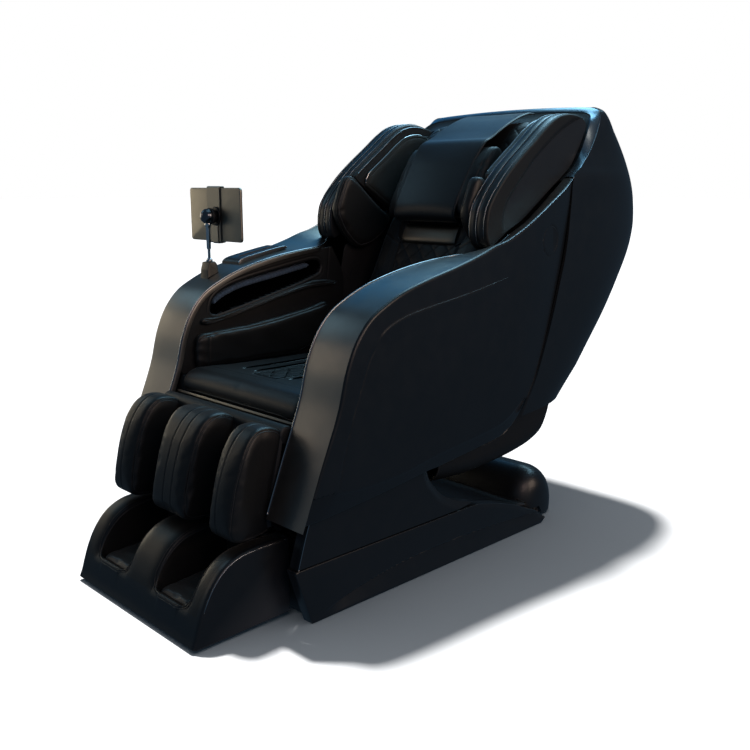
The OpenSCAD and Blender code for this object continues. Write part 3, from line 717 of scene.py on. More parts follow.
def soft(name, parts, mat, body, voxel=5.0, smooth=14, pressure=4.0, cap=10.0, sub=1, detail=None, pre=None, sim=True, post=2):
    ob = solid_parts(name, parts, mat)
    remesh(ob, voxel)
    relax(ob, smooth)
    if pre:
        push(ob, pre)
    if sim:
        cloth(ob, pressure, cap)
        relax(ob, post)
    if sub:
        subdiv(ob, sub)
    if detail:
        for fn in (detail if isinstance(detail, (list, tuple)) else [detail]):
            push(ob, fn)
    for p in ob.data.polygons:
        p.use_smooth = True
    if not ob.data.materials:
        ob.data.materials.append(mat)
    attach(ob, body)
    return ob


def replace(ob, *nodes):
    for o in (ob if isinstance(ob, (list, tuple)) else [ob]):
        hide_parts(*nodes)


def paint(names, mat):
    for n in names:
        me = NODE[n].data
        me.materials.clear()
        me.materials.append(mat)


# ------------------------------------------------------------------ arm shells: outer face, band, lip
OUT_E = [(-569, 252), (-541, 322), (-516, 384), (-467, 502), (-442, 590), (-413, 650), (-373, 695), (-325, 723), (-262, 749),
         (-180, 771), (-95, 790), (-24, 808), (20, 821), (62, 835), (112, 847), (170, 870), (239, 903), (316, 942), (390, 979), (424, 1002)]
IN_E = [(-569, 252), (-541, 322), (-516, 384), (-467, 502), (-442, 590), (-413, 650), (-373, 695), (-325, 723), (-262, 749),
        (-180, 771), (-95, 787), (-24, 796), (50, 803), (100, 811), (145, 832), (190, 857), (249, 884), (302, 917), (357, 954), (423, 999)]
SEAM = [(190, 376), (245, 462), (290, 562), (323, 646), (349, 719), (372, 781), (388, 838), (401, 892), (412, 940), (424, 1002)]
LOW = [(-569, 252), (-440, 267), (-300, 283), (-165, 299), (-129, 300), (0, 315), (113, 329), (162, 351), (190, 376)]
LEFT = sp(OUT_E, 400)
cut = int(np.argmin(np.abs(LEFT[:, 0] + 400)))


def x_out(y):
    y = np.asarray(y, float)
    return 392 - np.where(y > 150, 66 * ((y - 150) / 450) ** 2, 0)


BLADE_TOP = sp([(-352, 640), (-340, 657), (-315, 673), (-267, 690), (-183, 705), (-40, 725), (113, 753)], 60)
BLADE_LOW = sp([(113, 753), (96, 728), (20, 700), (-90, 680), (-200, 660), (-290, 636), (-340, 612)], 40)
BLADE = np.vstack([BLADE_TOP, BLADE_LOW[1:]])
INSET_L = sp([(-352, 640), (-377, 605), (-401, 550), (-431, 470), (-452, 395), (-468, 322)], 50)
CHAMF = sp([(-468, 322), (-439, 287 + 30), (-280, 318), (-140, 340), (13, 357), (120, 376), (190, 420)], 60)


def side_face(Y, Z):
    x = x_out(Y)
    # gentle crown, fuller at mid height
    x = x - 9.0 * np.clip((560 - Z) / 300, 0, 1) ** 2 - 3.0 * np.clip((Z - 640) / 320, 0, 1) ** 2
    # raised blade: crisp upper edge, dies out towards the lower line
    ins = inside(Y, Z, BLADE)
    dt, pt = sdf(Y, Z, BLADE_TOP)
    dl, _ = sdf(Y, Z, BLADE_LOW)
    sd = np.where(ins, dt, -dt)
    fade = sstep(pt, 0.0, 0.06) * (1 - 0.75 * sstep(pt, 0.80, 1.0))
    rise = sstep(sd, -2.5, 2.5) * np.where(ins, dl / (dl + dt + 1e-6), 1.0)
    x = x + np.where(ins | (dt < 2.5), 1.3 * fade * rise, 0)
    # groove down the front of the inset and its soft foot
    dg, pg = sdf(Y, Z, INSET_L)
    x = x - 1.3 * np.exp(-(dg / 1.5) ** 2) * sstep(pg, 0.0, 0.1) * (1 - sstep(pg, 0.93, 1.0))
    # chamfer along the bottom
    dc, pc = sdf(Y, Z, CHAMF)
    below = Z < np.interp(Y, CHAMF[:, 0], CHAMF[:, 1])
    x = x - np.where(below, 0.20 * np.maximum(dc - 1.5, 0) + 0.9 * sstep(dc, 0, 6), 0)
    # round cap recess
    rc = np.hypot(Y - 302, Z - 837)
    x = x - 1.6 * np.exp(-((rc - 39.5) / 1.7) ** 2)
    # seam shadow next to the back shell
    ds, _ = sdf(Y, Z, SEAM)
    x = x - 1.8 * np.exp(-(ds / 2.2) ** 2)
    return x


def arm_shell(side):
    us = ease(250, 0.012, 7)
    vs = ease(150, 0.012, 7)
    P = coons(LEFT[:cut + 1], LEFT[cut:], sp(SEAM, 120), sp(LOW, 200), 0, 0, us, vs)
    Y, Z = P[..., 0], P[..., 1]
    X = side_face(Y, Z)
    de, _ = sdf(Y, Z, LEFT)
    r = 7.0
    k = np.clip(r - de, 0, r)
    X = X - (r - np.sqrt(np.maximum(r * r - k * k, 0)))
    dlow, _ = sdf(Y, Z, LOW)
    k = np.clip(4 - dlow, 0, 4)
    X = X - (4 - np.sqrt(np.maximum(16 - k * k, 0)))
    G = np.stack([X, Y, Z], -1)
    # thin return along the bottom and the seam, so the shell shows its wall
    V, F = [G.reshape(-1, 3)], grid_faces(*G.shape[:2])
    off = G.shape[0] * G.shape[1]
    nv = G.shape[1]
    rim = [i * nv for i in range(G.shape[0])] + [(G.shape[0] - 1) * nv + j for j in range(1, nv)]
    last = rim
    for dx in (3.0, 8.0):
        R = G.reshape(-1, 3)[rim].copy()
        R[:, 0] -= dx
        V.append(R)
        cur = list(range(off, off + len(rim)))
        F += [(last[i], cur[i], cur[i + 1], last[i + 1]) for i in range(len(rim) - 1)]
        last = cur
        off += len(rim)
    V = np.vstack(V)
    if side < 0:
        V = mir(V)
        F = [f[::-1] for f in F]
    face = make("arm_face_" + ("left" if side > 0 else "right"), V, F, M_SHELL, "capsule", 40)
    replace(face, "side_panel_left" if side > 0 else "side_panel_right")

    # band: from the rounded outer edge to the inner lip
    n = 260
    O = sp([(x_out(y) * 1.0, y, z) for y, z in OUT_E], n)
    xi = np.interp([p[0] for p in IN_E], [-600, 20, 60, 100, 145, 190, 230, 424], [256, 256, 266, 300, 330, 333, 334, 336])
    I = sp([(x, y, z) for x, (y, z) in zip(xi, IN_E)], n)
    # pair the two curves point by point, by index
    I = np.array([I[min(n - 1, max(0, i))] for i in range(n)])
    T = np.gradient(O, axis=0); T /= np.linalg.norm(T, axis=1)[:, None]
    rows = []
    for t in [0, 0.01, 0.03, 0.06, 0.1, 0.16, 0.24, 0.34, 0.45, 0.56, 0.67, 0.77, 0.86, 0.92, 0.96, 0.985, 1.0]:
        A = O.copy(); A[:, 0] -= 7.0
        p = A * (1 - t) + I * t
        w = np.cross(I - A, T); w /= np.linalg.norm(w, axis=1)[:, None]
        if np.mean(w[:60, 1]) > 0:
            w = -w
        wid = np.linalg.norm(I - A, axis=1)[:, None]
        p = p + w * (0.012 * wid * 4 * t * (1 - t))
        rows.append(p)
    # inner edge rolls over and runs down the inner wall
    w = np.cross(rows[-1] - rows[0], T); w /= np.linalg.norm(w, axis=1)[:, None]
    if np.mean(w[:60, 1]) > 0:
        w = -w
    e = rows[-1]
    for dx, dn in ((-1.2, -0.6), (-2.4, -2.4), (-3.0, -5.0), (-3.0, -14)):
        q = e + w * dn
        q[:, 0] += dx
        rows.append(q)
    G = np.array(rows)
    V = G.reshape(-1, 3)
    F = grid_faces(*G.shape[:2])
    if side < 0:
        V = mir(V); F = [f[::-1] for f in F]
    band = make("arm_band_" + ("left" if side > 0 else "right"), V, F, M_BAND, "capsule", 60)
    # bright trim tube along the inner edge: a painted highlight where the lip's bevel catches light
    L = G[16] + w * 0.6
    L = L[2:int(n * 0.80)]
    s = 1 if side > 0 else -1
    L[:, 0] = (L[:, 0] + 0.5) * s
    R = np.full(len(L), 2.1)
    R[-12:] *= np.linspace(1, 0.3, 12)
    V, F = tube_mesh(L, R, 10)
    make("arm_lip_" + ("left" if side > 0 else "right"), V, F, M_TRIM_HIGHLIGHT, "capsule", None)
    # bright trim tube along the outer edge behind the shoulder, a painted highlight line, and a shell-coloured line
    # along the raised blade
    E = sp([(x_out(y) * 1.0 - 1.6, y, z - 0.4) for y, z in OUT_E[13:]], 110)
    E[:, 0] *= s
    R = np.full(110, 1.1); R[:30] *= np.linspace(0.1, 1, 30); R[-8:] *= np.linspace(1, 0.3, 8)
    V, F = tube_mesh(E, R, 8)
    make("arm_edge_" + ("left" if side > 0 else "right"), V, F, M_TRIM_HIGHLIGHT, "capsule", None)
    Q = BLADE_TOP[6:]
    E = np.c_[(side_face(Q[:, 0], Q[:, 1]) + 0.1) * s, Q]
    R = np.full(len(E), 0.9); R[:8] *= np.linspace(0.3, 1, 8); R[-8:] *= np.linspace(1, 0.3, 8)
    V, F = tube_mesh(E, R, 8)
    make("arm_blade_" + ("left" if side > 0 else "right"), V, F, M_SHELL, "capsule", None)
    return face


arm_shell(1)
arm_shell(-1)


# ------------------------------------------------------------------ more mesh tools
def plate(name, B, T, L, R, Xf, depth, mat, body, side=1, nu=160, nv=60, r=5.0, toward=1, e=0.012, sharp=40, back=True):
    """A moulded plate over a four-sided outline in (y, z). Xf(Y, Z, d) is the face, d the distance to its edge."""
    P = coons(L, T, R, B, 0, 0, ease(nu, e, 6), ease(nv, 2 * e, 6))
    Y, Z = P[..., 0], P[..., 1]
    a, b_ = Y.shape
    loop = [(i, 0) for i in range(a)] + [(a - 1, j) for j in range(1, b_)] + [(i, b_ - 1) for i in range(a - 2, -1, -1)] + [(0, j) for j in range(b_ - 2, 0, -1)]
    out = np.array([[Y[i, j], Z[i, j]] for i, j in loop])
    d, _ = sdf(Y, Z, rs(out, 240, True), True)
    for i, j in loop:
        d[i, j] = 0.0
    X = np.asarray(Xf(Y, Z, d), float) + np.zeros_like(Y)
    k = np.clip(r - d, 0, r)
    X = X - toward * (r - np.sqrt(np.maximum(r * r - k * k, 0)))
    V = [np.stack([X, Y, Z], -1).reshape(-1, 3)]
    F = grid_faces(a, b_)
    off = a * b_
    idx = [i * b_ + j for i, j in loop]
    last = idx
    base = V[0][idx]
    for t in (0.35, 1.0):
        Q = base.copy()
        Q[:, 0] = Q[:, 0] * (1 - t) + depth * t
        V.append(Q)
        cur = list(range(off, off + len(idx)))
        n = len(idx)
        F += [(last[i], cur[i], cur[(i + 1) % n], last[(i + 1) % n]) for i in range(n)]
        last = cur
        off += n
    if back:
        F.append(tuple(last))
    V = np.vstack(V)
    if side < 0:
        V = mir(V)
    return make(name, V, F, mat, body, sharp, 0.01)


def inset(P, d):
    """Closed outline moved inwards by d."""
    P = np.asarray(P, float)
    T = np.roll(P, -1, 0) - np.roll(P, 1, 0)
    T /= np.linalg.norm(T, axis=1)[:, None] + 1e-9
    N = np.c_[T[:, 1], -T[:, 0]]
    A = 0.5 * np.sum(P[:, 0] * np.roll(P[:, 1], -1) - np.roll(P[:, 0], -1) * P[:, 1])
    return P - N * d * (1 if A > 0 else -1)


def slab(name, outline, x0, x1, r, mat, body, slot, n=120, k=5, axes="xyz", rounds=1, sharp=40, crown=0.0):
    """An outline swept from x0 to x1 with rounded rims. axes names the world axis of (sweep, first, second)."""
    P = rs(chaikin(outline, rounds, True, 0.18) if rounds else np.asarray(outline, float), n, True)
    rows = []
    for t in np.linspace(0, math.pi / 2, k):
        Q = inset(P, r * (1 - math.sin(t)))
        rows.append(np.c_[np.full(n, x0 + r * (1 - math.cos(t))), Q])
    for t in np.linspace(0, math.pi / 2, k):
        Q = inset(P, r * (1 - math.cos(t)))
        rows.append(np.c_[np.full(n, x1 - r * (1 - math.sin(t))), Q])
    G = np.array(rows)
    m = len(rows)
    F = grid_faces(m, n, False, True)
    V = G.reshape(-1, 3)
    F += [tuple(range(n)), tuple((m - 1) * n + j for j in range(n))]
    W = np.zeros_like(V)
    for j, ax in enumerate(axes):
        W[:, "xyz".index(ax)] = V[:, j]
    return make(name, W, F, mat, body, sharp, 0.005)


def lathe(name, prof, origin, axis, mat, body, k=48, sharp=40):
    """Profile of (along, radius) turned about an axis through origin."""
    P = np.asarray(prof, float)
    d = Vector(axis).normalized()
    q = d.to_track_quat("Z", "Y")
    a = np.linspace(0, 2 * math.pi, k, endpoint=False)
    V, F = [], []
    for h, r in P:
        for t in a:
            V.append(np.array(q @ Vector((r * math.cos(t), r * math.sin(t), h))) + np.asarray(origin, float))
    F = grid_faces(len(P), k, False, True)
    F += [tuple(range(k)), tuple((len(P) - 1) * k + j for j in range(k))]
    return make(name, V, F, mat, body, sharp, 0.002)


def verts(ob):
    V = np.zeros(len(ob.data.vertices) * 3)
    ob.data.vertices.foreach_get("co", V)
    return V.reshape(-1, 3) / MM


def groove(ob, P, w=2.0, d=1.6):
    """Sinks a sewn line into the surface along P."""
    V = verts(ob)
    P = rs(P, max(4, int(np.linalg.norm(np.diff(np.asarray(P, float), axis=0), axis=1).sum() / 1.5)))
    n = len(V)
    N = np.zeros(n * 3); ob.data.vertex_normals.foreach_get("vector", N); N = N.reshape(-1, 3)
    lo, hi = P.min(0) - 4 * w, P.max(0) + 4 * w
    near = np.nonzero(np.all((V > lo) & (V < hi), axis=1))[0]
    D = np.full(len(near), 1e9)
    for i in range(0, len(P), 64):
        q = P[i:i + 64]
        D = np.minimum(D, np.sqrt(((V[near][:, None] - q[None]) ** 2).sum(2)).min(1))
    V[near] -= N[near] * (d * np.exp(-(D / w) ** 2))[:, None]
    ob.data.vertices.foreach_set("co", (V * MM).ravel())
    ob.data.update()


def sewn(ob, name, P, body, w=2.2, d=1.8, r=0.0, lift=0.0, mat=None, stitch=0.0, closed=False, reach=60.0, n=None, even=5):
    """A sewn line on a soft piece: a groove, with piping of radius r, or a row of stitches beside it."""
    P = sp(P, n or max(12, int(np.linalg.norm(np.diff(np.asarray(P, float), axis=0), axis=1).sum() / 5)), closed)
    t = bvh(ob)
    Q = snap(P, t, 0.0, reach)
    if closed:
        Qc = np.vstack([Q, Q[:1]])
    else:
        Qc = Q
    if d:
        groove(ob, Qc, w, d)
    out = []
    if r:
        t = bvh(ob)
        R = snap(P, t, lift, reach)
        for _ in range(even):
            if closed:
                R = 0.5 * R + 0.25 * (np.roll(R, 1, 0) + np.roll(R, -1, 0))
            else:
                R[1:-1] = 0.5 * R[1:-1] + 0.25 * (R[:-2] + R[2:])
        V, F = tube_mesh(R, r, 8, closed)
        o = make(name, V, F, mat or M_PIPING, body, None)
        out.append(o)
    if stitch:
        t = bvh(ob)
        T = np.gradient(Q, axis=0)
        nn = []
        for p in Q:
            hit, nr, _, _ = t.find_nearest(Vector(p * MM))
            nn.append(np.array(nr))
        S = np.cross(T, np.array(nn)); S /= np.linalg.norm(S, axis=1)[:, None] + 1e-9
        R = snap(Q + S * stitch, t, 0.25, reach)
        out.append(stitches(name + "_stitch", R, body))
    return out


# ------------------------------------------------------------------ back shell
ROWS = np.array([[371, 338, 500, 125], [441, 342, 560, 120], [521, 344, 637, 125], [616, 345, 731, 133], [703, 345, 806, 142],
                 [783, 345, 864, 147], [830, 345, 884, 147], [875, 345, 893, 147], [957, 344, 880, 142], [1047, 340, 826, 125], [1124, 336, 753, 105],
                 [1162, 333, 706, 90], [1181, 330, 678, 80], [1191, 326, 664, 72], [1197, 317, 651, 66], [1201, 304, 638, 58]])
FRONT = [(190, 376, 392), (245, 462, 392), (290, 562, 391), (323, 646, 389.5), (349, 719, 387), (372, 781, 384), (388, 838, 380.5), (401, 892, 375.5), (412, 940, 371),
         (424, 1002, 367), (476, 1034, 358), (515, 1064, 350), (555, 1103, 342), (587, 1147, 334), (599, 1172, 329), (603, 1184, 325), (606, 1191, 320), (608, 1197, 311), (610, 1201, 300)]


def shell_section(xf, yf, W, yr, r):
    """Convex quarter section from (xf, yf) to (0, yr) as full as the rounded corner asks for."""
    a, b_ = r * 1.25, min(r * 1.25, (yr - yf) * 0.8)
    reach = (W - a) + (yr - b_) + (a ** (5 / 3) + b_ ** (5 / 3)) ** 0.6 - yf
    A, B = xf, max(yr - yf, 1.0)
    lo, hi = 1.6, 14.0
    for _ in range(40):
        n = (lo + hi) / 2
        m = n / (n - 1)
        if (A ** m + B ** m) ** (1 / m) < reach:
            lo = n
        else:
            hi = n
    n = min(max((lo + hi) / 2, 2.2), 5.0)
    th = np.linspace(0, math.pi / 2, 240)
    q = np.c_[A * np.cos(th) ** (2 / n), yf + B * np.sin(th) ** (2 / n)]
    return rs(q, 110)


def back_shell():
    F = sp(FRONT, 400)
    RI = sp(ROWS, 400)
    zs = np.r_[np.linspace(376, 1180, 130), 1183, 1186, 1189, 1192, 1194.5, 1197, 1198.5, 1200, 1201]
    rows = []
    for z in zs:
        yf = np.interp(z, F[:, 1], F[:, 0])
        xf = np.interp(z, F[:, 1], F[:, 2])
        W, yr, r = (np.interp(z, RI[:, 0], RI[:, k]) for k in (1, 2, 3))
        half = shell_section(xf, yf, W, yr, r)
        full = np.vstack([half, half[::-1][1:] * [-1, 1]])
        # bottom edge rises towards the front corners
        drop = 0.0
        rows.append(np.c_[full, np.full(len(full), z)])
    G = np.array(rows)
    # bottom edge runs from (190, 376) up to (545, 398)
    k = np.clip((470 - zs) / 94, 0, 1)[:, None]
    G[:, :, 2] += k * 22 * np.clip((G[:, :, 1] - 190) / 310, 0, 1)
    # the top rises a little towards the middle
    G[:, :, 2] += 8.0 * np.clip(1 - (G[:, :, 0] / 290) ** 2, 0, 1) * sstep(zs, 1120, 1201)[:, None]
    top = G[-1]
    n = len(top)
    cap = []
    for t in np.linspace(0, 1, 14)[1:]:
        line = np.c_[np.linspace(top[0][0], top[-1][0], n), np.full(n, top[0][1]), np.full(n, top[0][2])]
        p = top * (1 - t) + line * t
        u = np.linspace(-1, 1, n)
        p[:, 2] = 1201 + 0.6 * np.sin(math.pi * t) * (1 - u * u) + 8.0 * np.clip(1 - (p[:, 0] / 290) ** 2, 0, 1)
        cap.append(p)
    G = np.vstack([G, np.array(cap)])
    V = [G.reshape(-1, 3)]
    nu, nv = G.shape[:2]
    F = grid_faces(nu, nv, flip=True)
    off = nu * nv
    edge = [i * nv for i in range(nu)][::-1] + list(range(1, nv)) + [i * nv + nv - 1 for i in range(1, nu)]
    last = edge
    C = np.array([0, 560, 800.0])
    P0 = G.reshape(-1, 3)[edge]
    inw = C - P0
    inw[:, 1] = 0
    inw /= np.linalg.norm(inw, axis=1)[:, None]
    for d, dy in ((2.5, 0.0), (8, 1.0), (9, 12)):
        R = P0 + inw * d
        R[:, 1] += dy * 0.5
        V.append(R)
        cur = list(range(off, off + len(edge)))
        F += [(last[i], last[i + 1], cur[i + 1], cur[i]) for i in range(len(edge) - 1)]
        last = cur
        off += len(edge)
    ob = make("back_shell_skin", np.vstack(V), F, M_SHELL, "capsule", 40)
    replace(ob, "back_shell")


def rim():
    """Bevel between the wings and the shell's edge, and the strip across the top."""
    O = [(367, 424, 1002), (358, 476, 1034), (350, 515, 1064), (342, 555, 1103), (334, 587, 1147), (329, 599, 1172), (320, 606, 1190), (302, 609.5, 1198.5), (270, 611, 1202.3), (200, 612, 1205.6), (100, 612, 1208.5), (0, 612, 1209.5)]
    I = [(338, 424, 1003), (334, 476, 1039), (333, 501, 1070), (331, 525, 1106), (328, 546, 1141), (322, 562, 1163), (309, 579, 1178), (292, 586, 1184), (262, 590, 1188), (200, 592, 1192), (100, 593, 1196), (0, 593, 1197)]
    J = [(300, 418, 985), (300, 470, 1020), (300, 495, 1055), (296, 520, 1095), (290, 536, 1125), (286, 546, 1142), (280, 552, 1152), (270, 555, 1156), (250, 556, 1159), (200, 556, 1161), (100, 556, 1164), (0, 556, 1165)]
    A, B, C = sp(O, 140), sp(I, 140), sp(J, 140)
    A = np.vstack([A, mir(A[::-1])[1:]])
    B = np.vstack([B, mir(B[::-1])[1:]])
    C = np.vstack([C, mir(C[::-1])[1:]])
    rows = []
    T = np.gradient(A, axis=0); T /= np.linalg.norm(T, axis=1)[:, None]
    W = np.cross(B - A, T); W /= np.linalg.norm(W, axis=1)[:, None]
    if W[40, 1] > 0:
        W = -W
    for t in [0, 0.03, 0.08, 0.16, 0.3, 0.45, 0.6, 0.75, 0.87, 0.94, 0.98, 1.0]:
        rows.append(A * (1 - t) + B * t + W * (1.6 * 4 * t * (1 - t)))
    back = rows[-1] - W * 9
    rows.append(rows[-1] - W * 2.0 + (B - A) * 0.02)
    rows.append(back)
    rows.append(rows[0] - W * 9)
    rows.append(rows[0] - W * 1.5)
    # the rim's blue metal is a painted blue reflection on a dark grey satin rim
    grid("back_shell_rim", np.array(rows), M_BLUE_SHEEN, "capsule", cu=True, sharp=50, merge=0.01)
    # dark closing panel between the rim and the upholstery
    rows = [B - W * 1.5]
    for t in (0.0, 0.1, 0.3, 0.6, 0.9, 1.0):
        rows.append((B - W * 1.5) * (1 - t) + C * t + [0, 0, -3 * math.sin(math.pi * t)])
    rows += [C + [0, 5, -4], B - W * 7]
    grid("back_shell_closing", np.array(rows), M_LEATHER, "capsule", cu=True, sharp=50, merge=0.01)
    # bright trim tubes along the shell's front edges: painted highlight lines
    for s, tag in ((1, "left"), (-1, "right")):
        L = sp([(358, 472, 1032.5), (350.5, 514, 1064.5), (342.5, 554, 1103.5), (334.8, 586, 1147), (329.8, 598, 1171), (321, 605, 1188.5)], 60)
        L[:, 0] *= s
        R = np.interp(np.linspace(0, 1, 60), [0, 0.25, 0.8, 1], [0.6, 1.4, 1.8, 1.0])
        V, F = tube_mesh(L, R, 8)
        make("back_shell_edge_" + tag, V, F, M_TRIM_HIGHLIGHT, "capsule", None)


back_shell()
rim()

# ------------------------------------------------------------------ shoulder wings
W_TOP = sp([(95, 889), (103, 922), (121, 950), (151, 984), (182, 1014), (230, 1052), (291, 1096), (344, 1135), (390, 1161), (435, 1172), (478, 1172), (505, 1167)], 160)
W_LOW = sp([(114, 820), (145, 838), (190, 863), (249, 889), (302, 922), (357, 959), (427, 1004), (474, 1040), (498, 1072), (520, 1108), (534, 1136)], 160)
W_LEFT = sp([(114, 820), (102, 834), (95, 858), (95, 889)], 24)
W_RIGHT = sp([(534, 1136), (535, 1149), (525, 1160), (505, 1167)], 30)
RECESS = sp([(520, 1172), (463, 1154), (403, 1124), (347, 1089), (297, 1052), (255, 1014), (217, 977), (187, 946), (170, 917), (166, 889), (172, 858), (190, 836)], 120)
REC_POLY = np.vstack([RECESS, [(190, 700), (800, 700), (800, 1172)]])


def wing_face(Y, Z, d):
    dT, _ = sdf(Y, Z, W_TOP)
    dr, _ = sdf(Y, Z, RECESS)
    sd = np.where(inside(Y, Z, REC_POLY), dr, -dr)
    # padded border, a crisp turn-in, then a hollow that rises again towards the lower edge
    x = 331 - 11.0 * sstep(sd, -8, 16) - 3.0 * sstep(sd, 30, 100)
    x = x + 1.6 * np.clip(1 - (np.minimum(dT, -np.minimum(sd, 0)) / 18) ** 2, 0, 1) * 0 - 0.9 * np.exp(-((sd + 5) / 1.6) ** 2)
    # soft crease across the hollow
    cr_ = (Z - 1010) - 0.62 * (Y - 300)
    return x + 1.6 * sstep(cr_, -30, 25) * sstep(sd, 20, 50)


def wing(side):
    tag = "left" if side > 0 else "right"
    ob = plate("wing_" + tag + "_cover", W_LOW, W_TOP, W_LEFT, W_RIGHT, wing_face, 324, M_WING, "capsule", side, 190, 70, 6.0)
    replace(ob, "wing_" + tag)
    # edge band between the outer cover and the inner pads
    def even(Q, k, closed):
        for _ in range(k):
            if closed:
                Q = 0.5 * Q + 0.25 * (np.roll(Q, 1, 0) + np.roll(Q, -1, 0))
            else:
                Q[1:-1] = 0.5 * Q[1:-1] + 0.25 * (Q[:-2] + Q[2:])
        return Q
    loop = np.vstack([W_TOP, W_RIGHT[::-1][1:], W_LOW[::-1][1:], W_LEFT[1:-1]])
    P = even(rs(loop, 420, True), 12, True)
    prof = [(324.5, 0.0), (323.5, -1.6), (318, -0.4), (306, 0.6), (297.5, 0.2), (296.3, -1.0), (295, -1.0), (293.8, 0.2), (284, 0.4), (275, 0.0), (270.5, -1.5), (268.5, -4.0)]
    rows = [np.c_[np.full(len(P), x), inset(P, -o + 0.8)] for x, o in prof]
    G = np.array(rows)
    V = G.reshape(-1, 3)
    n = len(P)
    F = grid_faces(len(rows), n, False, True) + [tuple(range(n)), tuple((len(rows) - 1) * n + j for j in range(n))]
    if side < 0:
        V = mir(V)
    make("wing_" + tag + "_edge", V, F, M_SHELL, "capsule", 50, 0.005)
    # bright trim beads along the upper edge: painted highlight lines
    base = even(rs(np.vstack([W_LEFT[4:-1], W_TOP]), 400), 60, False)
    for i, (x, r, a, b_) in enumerate(((320.5, 0.9, 0.03, 0.93), (295.5, 1.1, 0.0, 0.97), (272.5, 0.8, 0.02, 0.95))):
        Q = base[int(a * 400):int(b_ * 400)]
        T = np.gradient(Q, axis=0); T /= np.linalg.norm(T, axis=1)[:, None]
        N = np.c_[-T[:, 1], T[:, 0]]
        Q = np.c_[np.full(len(Q), x * side), Q + N * 0.3]
        R = np.full(len(Q), r); R[:20] *= np.linspace(0.3, 1, 20); R[-20:] *= np.linspace(1, 0.3, 20)
        V, F = tube_mesh(Q, R, 8)
        make("wing_" + tag + "_bead_%d" % (i + 1), V, F, M_TRIM_HIGHLIGHT, "capsule", None)


wing(1)
wing(-1)

# speaker panels on the inner face of the wings
SP_TOP = sp([(184, 1010), (196, 1020), (229, 1045), (292, 1090), (345, 1129), (390, 1153), (440, 1163), (494, 1160)], 120)
SP_LOW = sp([(184, 998), (200, 986), (282, 934), (318, 912), (350, 897), (372, 915), (440, 1010), (500, 1085), (524, 1124)], 120)
SP_L = np.array([(184, 998), (182, 1004), (184, 1010)], float)
SP_R = sp([(524, 1124), (527, 1142), (518, 1154), (494, 1160)], 30)


def speaker(side):
    tag = "left" if side > 0 else "right"
    base = plate("speaker_bed_" + tag, SP_LOW, SP_TOP, SP_L, SP_R, lambda Y, Z, d: 249.0, 267.6, M_MESH2, "capsule", side, 120, 40, 4.0, -1)
    replace(base, "speaker_pads")
    # raised pad, set in from the upper edge
    top = SP_TOP.copy()
    T = np.gradient(top, axis=0); T /= np.linalg.norm(T, axis=1)[:, None]
    N = np.c_[T[:, 1], -T[:, 0]]
    up = (top + N * 25)[14:-4]
    up = rs(up, 120)
    low = SP_LOW[10:-2] + [3, 3]
    low = rs(low, 120)
    l = sp([low[0], (low[0] + up[0]) / 2 + [-5, 0], up[0]], 12)
    r_ = sp([low[-1], (low[-1] + up[-1]) / 2 + [5, 2], up[-1]], 12)
    f = lambda Y, Z, d: 241.0 - 2.6 * sstep(d, 0, 26) + 1.2 * np.exp(-((d - 9) / 2.0) ** 2)
    plate("speaker_cover_" + tag, low, up, l, r_, f, 262, M_MESH, "capsule", side, 130, 60, 6.0, -1)
    # chromed line round the raised pad, and a thinner bright trim tube at the outer edge as a painted highlight line
    Q = np.vstack([l[2:], up[1:-1], r_[::-1][:6]])
    Q = rs(inset(np.vstack([Q, Q[:1] + 0.01])[:-1], 0)[:], 160)
    Q3 = np.c_[np.full(len(Q), 243.5 * side), Q]
    R = np.interp(np.linspace(0, 1, 160), [0, 0.06, 0.75, 1.0], [0.6, 2.3, 1.9, 0.6])
    V, F = tube_mesh(Q3, R, 8)
    make("speaker_trim_" + tag, V, F, M_CHROME, "capsule", None)
    Q = rs((SP_TOP + N * 1.5)[4:-4], 140)
    Q3 = np.c_[np.full(len(Q), 249.5 * side), Q]
    V, F = tube_mesh(Q3, 1.5, 8)
    make("speaker_trim_outer_" + tag, V, F, M_TRIM_HIGHLIGHT, "capsule", None)


speaker(1)
speaker(-1)

# padded shoulder airbag covers
SHP = np.array([(94, 872), (84, 915), (99, 955), (121, 1004), (141, 1018), (170, 1012), (274, 926), (340, 884), (298, 825), (231, 790), (180, 785), (133, 818)], float)


def shoulder(side):
    tag = "left" if side > 0 else "right"
    P = rs(chaikin(SHP, 2, True, 0.2), 90, True)
    Q = inset(P, 7 if side < 0 else 12)
    ob = soft("shoulder_pad_" + tag, [(Q if side > 0 else Q, *(sorted((side * 233.5, side * 265))))], M_LEATHER, "capsule", voxel=3.6, smooth=10, pressure=4.0, cap=3.5, sub=1, post=5)
    replace(ob, "shoulder_pads")
    x = side * 232
    sewn(ob, "shoulder_piping_" + tag, [(x, *q) for q in inset(P, 15 if side < 0 else 20)[::3]], "capsule", 2.0, 1.6, 1.0, 0.2, mat=M_FINE, closed=True)
    # outer piping where the face meets the side
    E = [(side * 240, *q) for q in inset(P, 3 if side < 0 else 8)[::3]]
    sewn(ob, "shoulder_edge_" + tag, E, "capsule", 1.6, 1.0, 1.0, 0.3, closed=True)


shoulder(1)
shoulder(-1)


def inner_close(side):
    """Dark panel behind the liner and the shoulder pad, and the filler at the front end of the seat."""
    tag = "left" if side > 0 else "right"
    P = [(112, 412), (330, 412), (430, 640), (470, 800), (500, 960), (430, 960), (330, 900), (250, 840), (150, 800), (132, 720), (130, 620), (116, 545)]
    slab("arm_rear_close_" + tag, P, *sorted((side * 264.5, side * 268.0)), 1.0, M_LINER, "capsule", "matte_plastic", n=120, k=3, rounds=0)
    slab("seat_end_close_" + tag, [(-460, 426), (102, 426), (102, 474), (-402, 474), (-404, 482), (-450, 484), (-456, 470)], *sorted((side * 224, side * 262)), 2.0, M_DARK, "capsule", "matte_plastic", n=60, k=3, rounds=0)


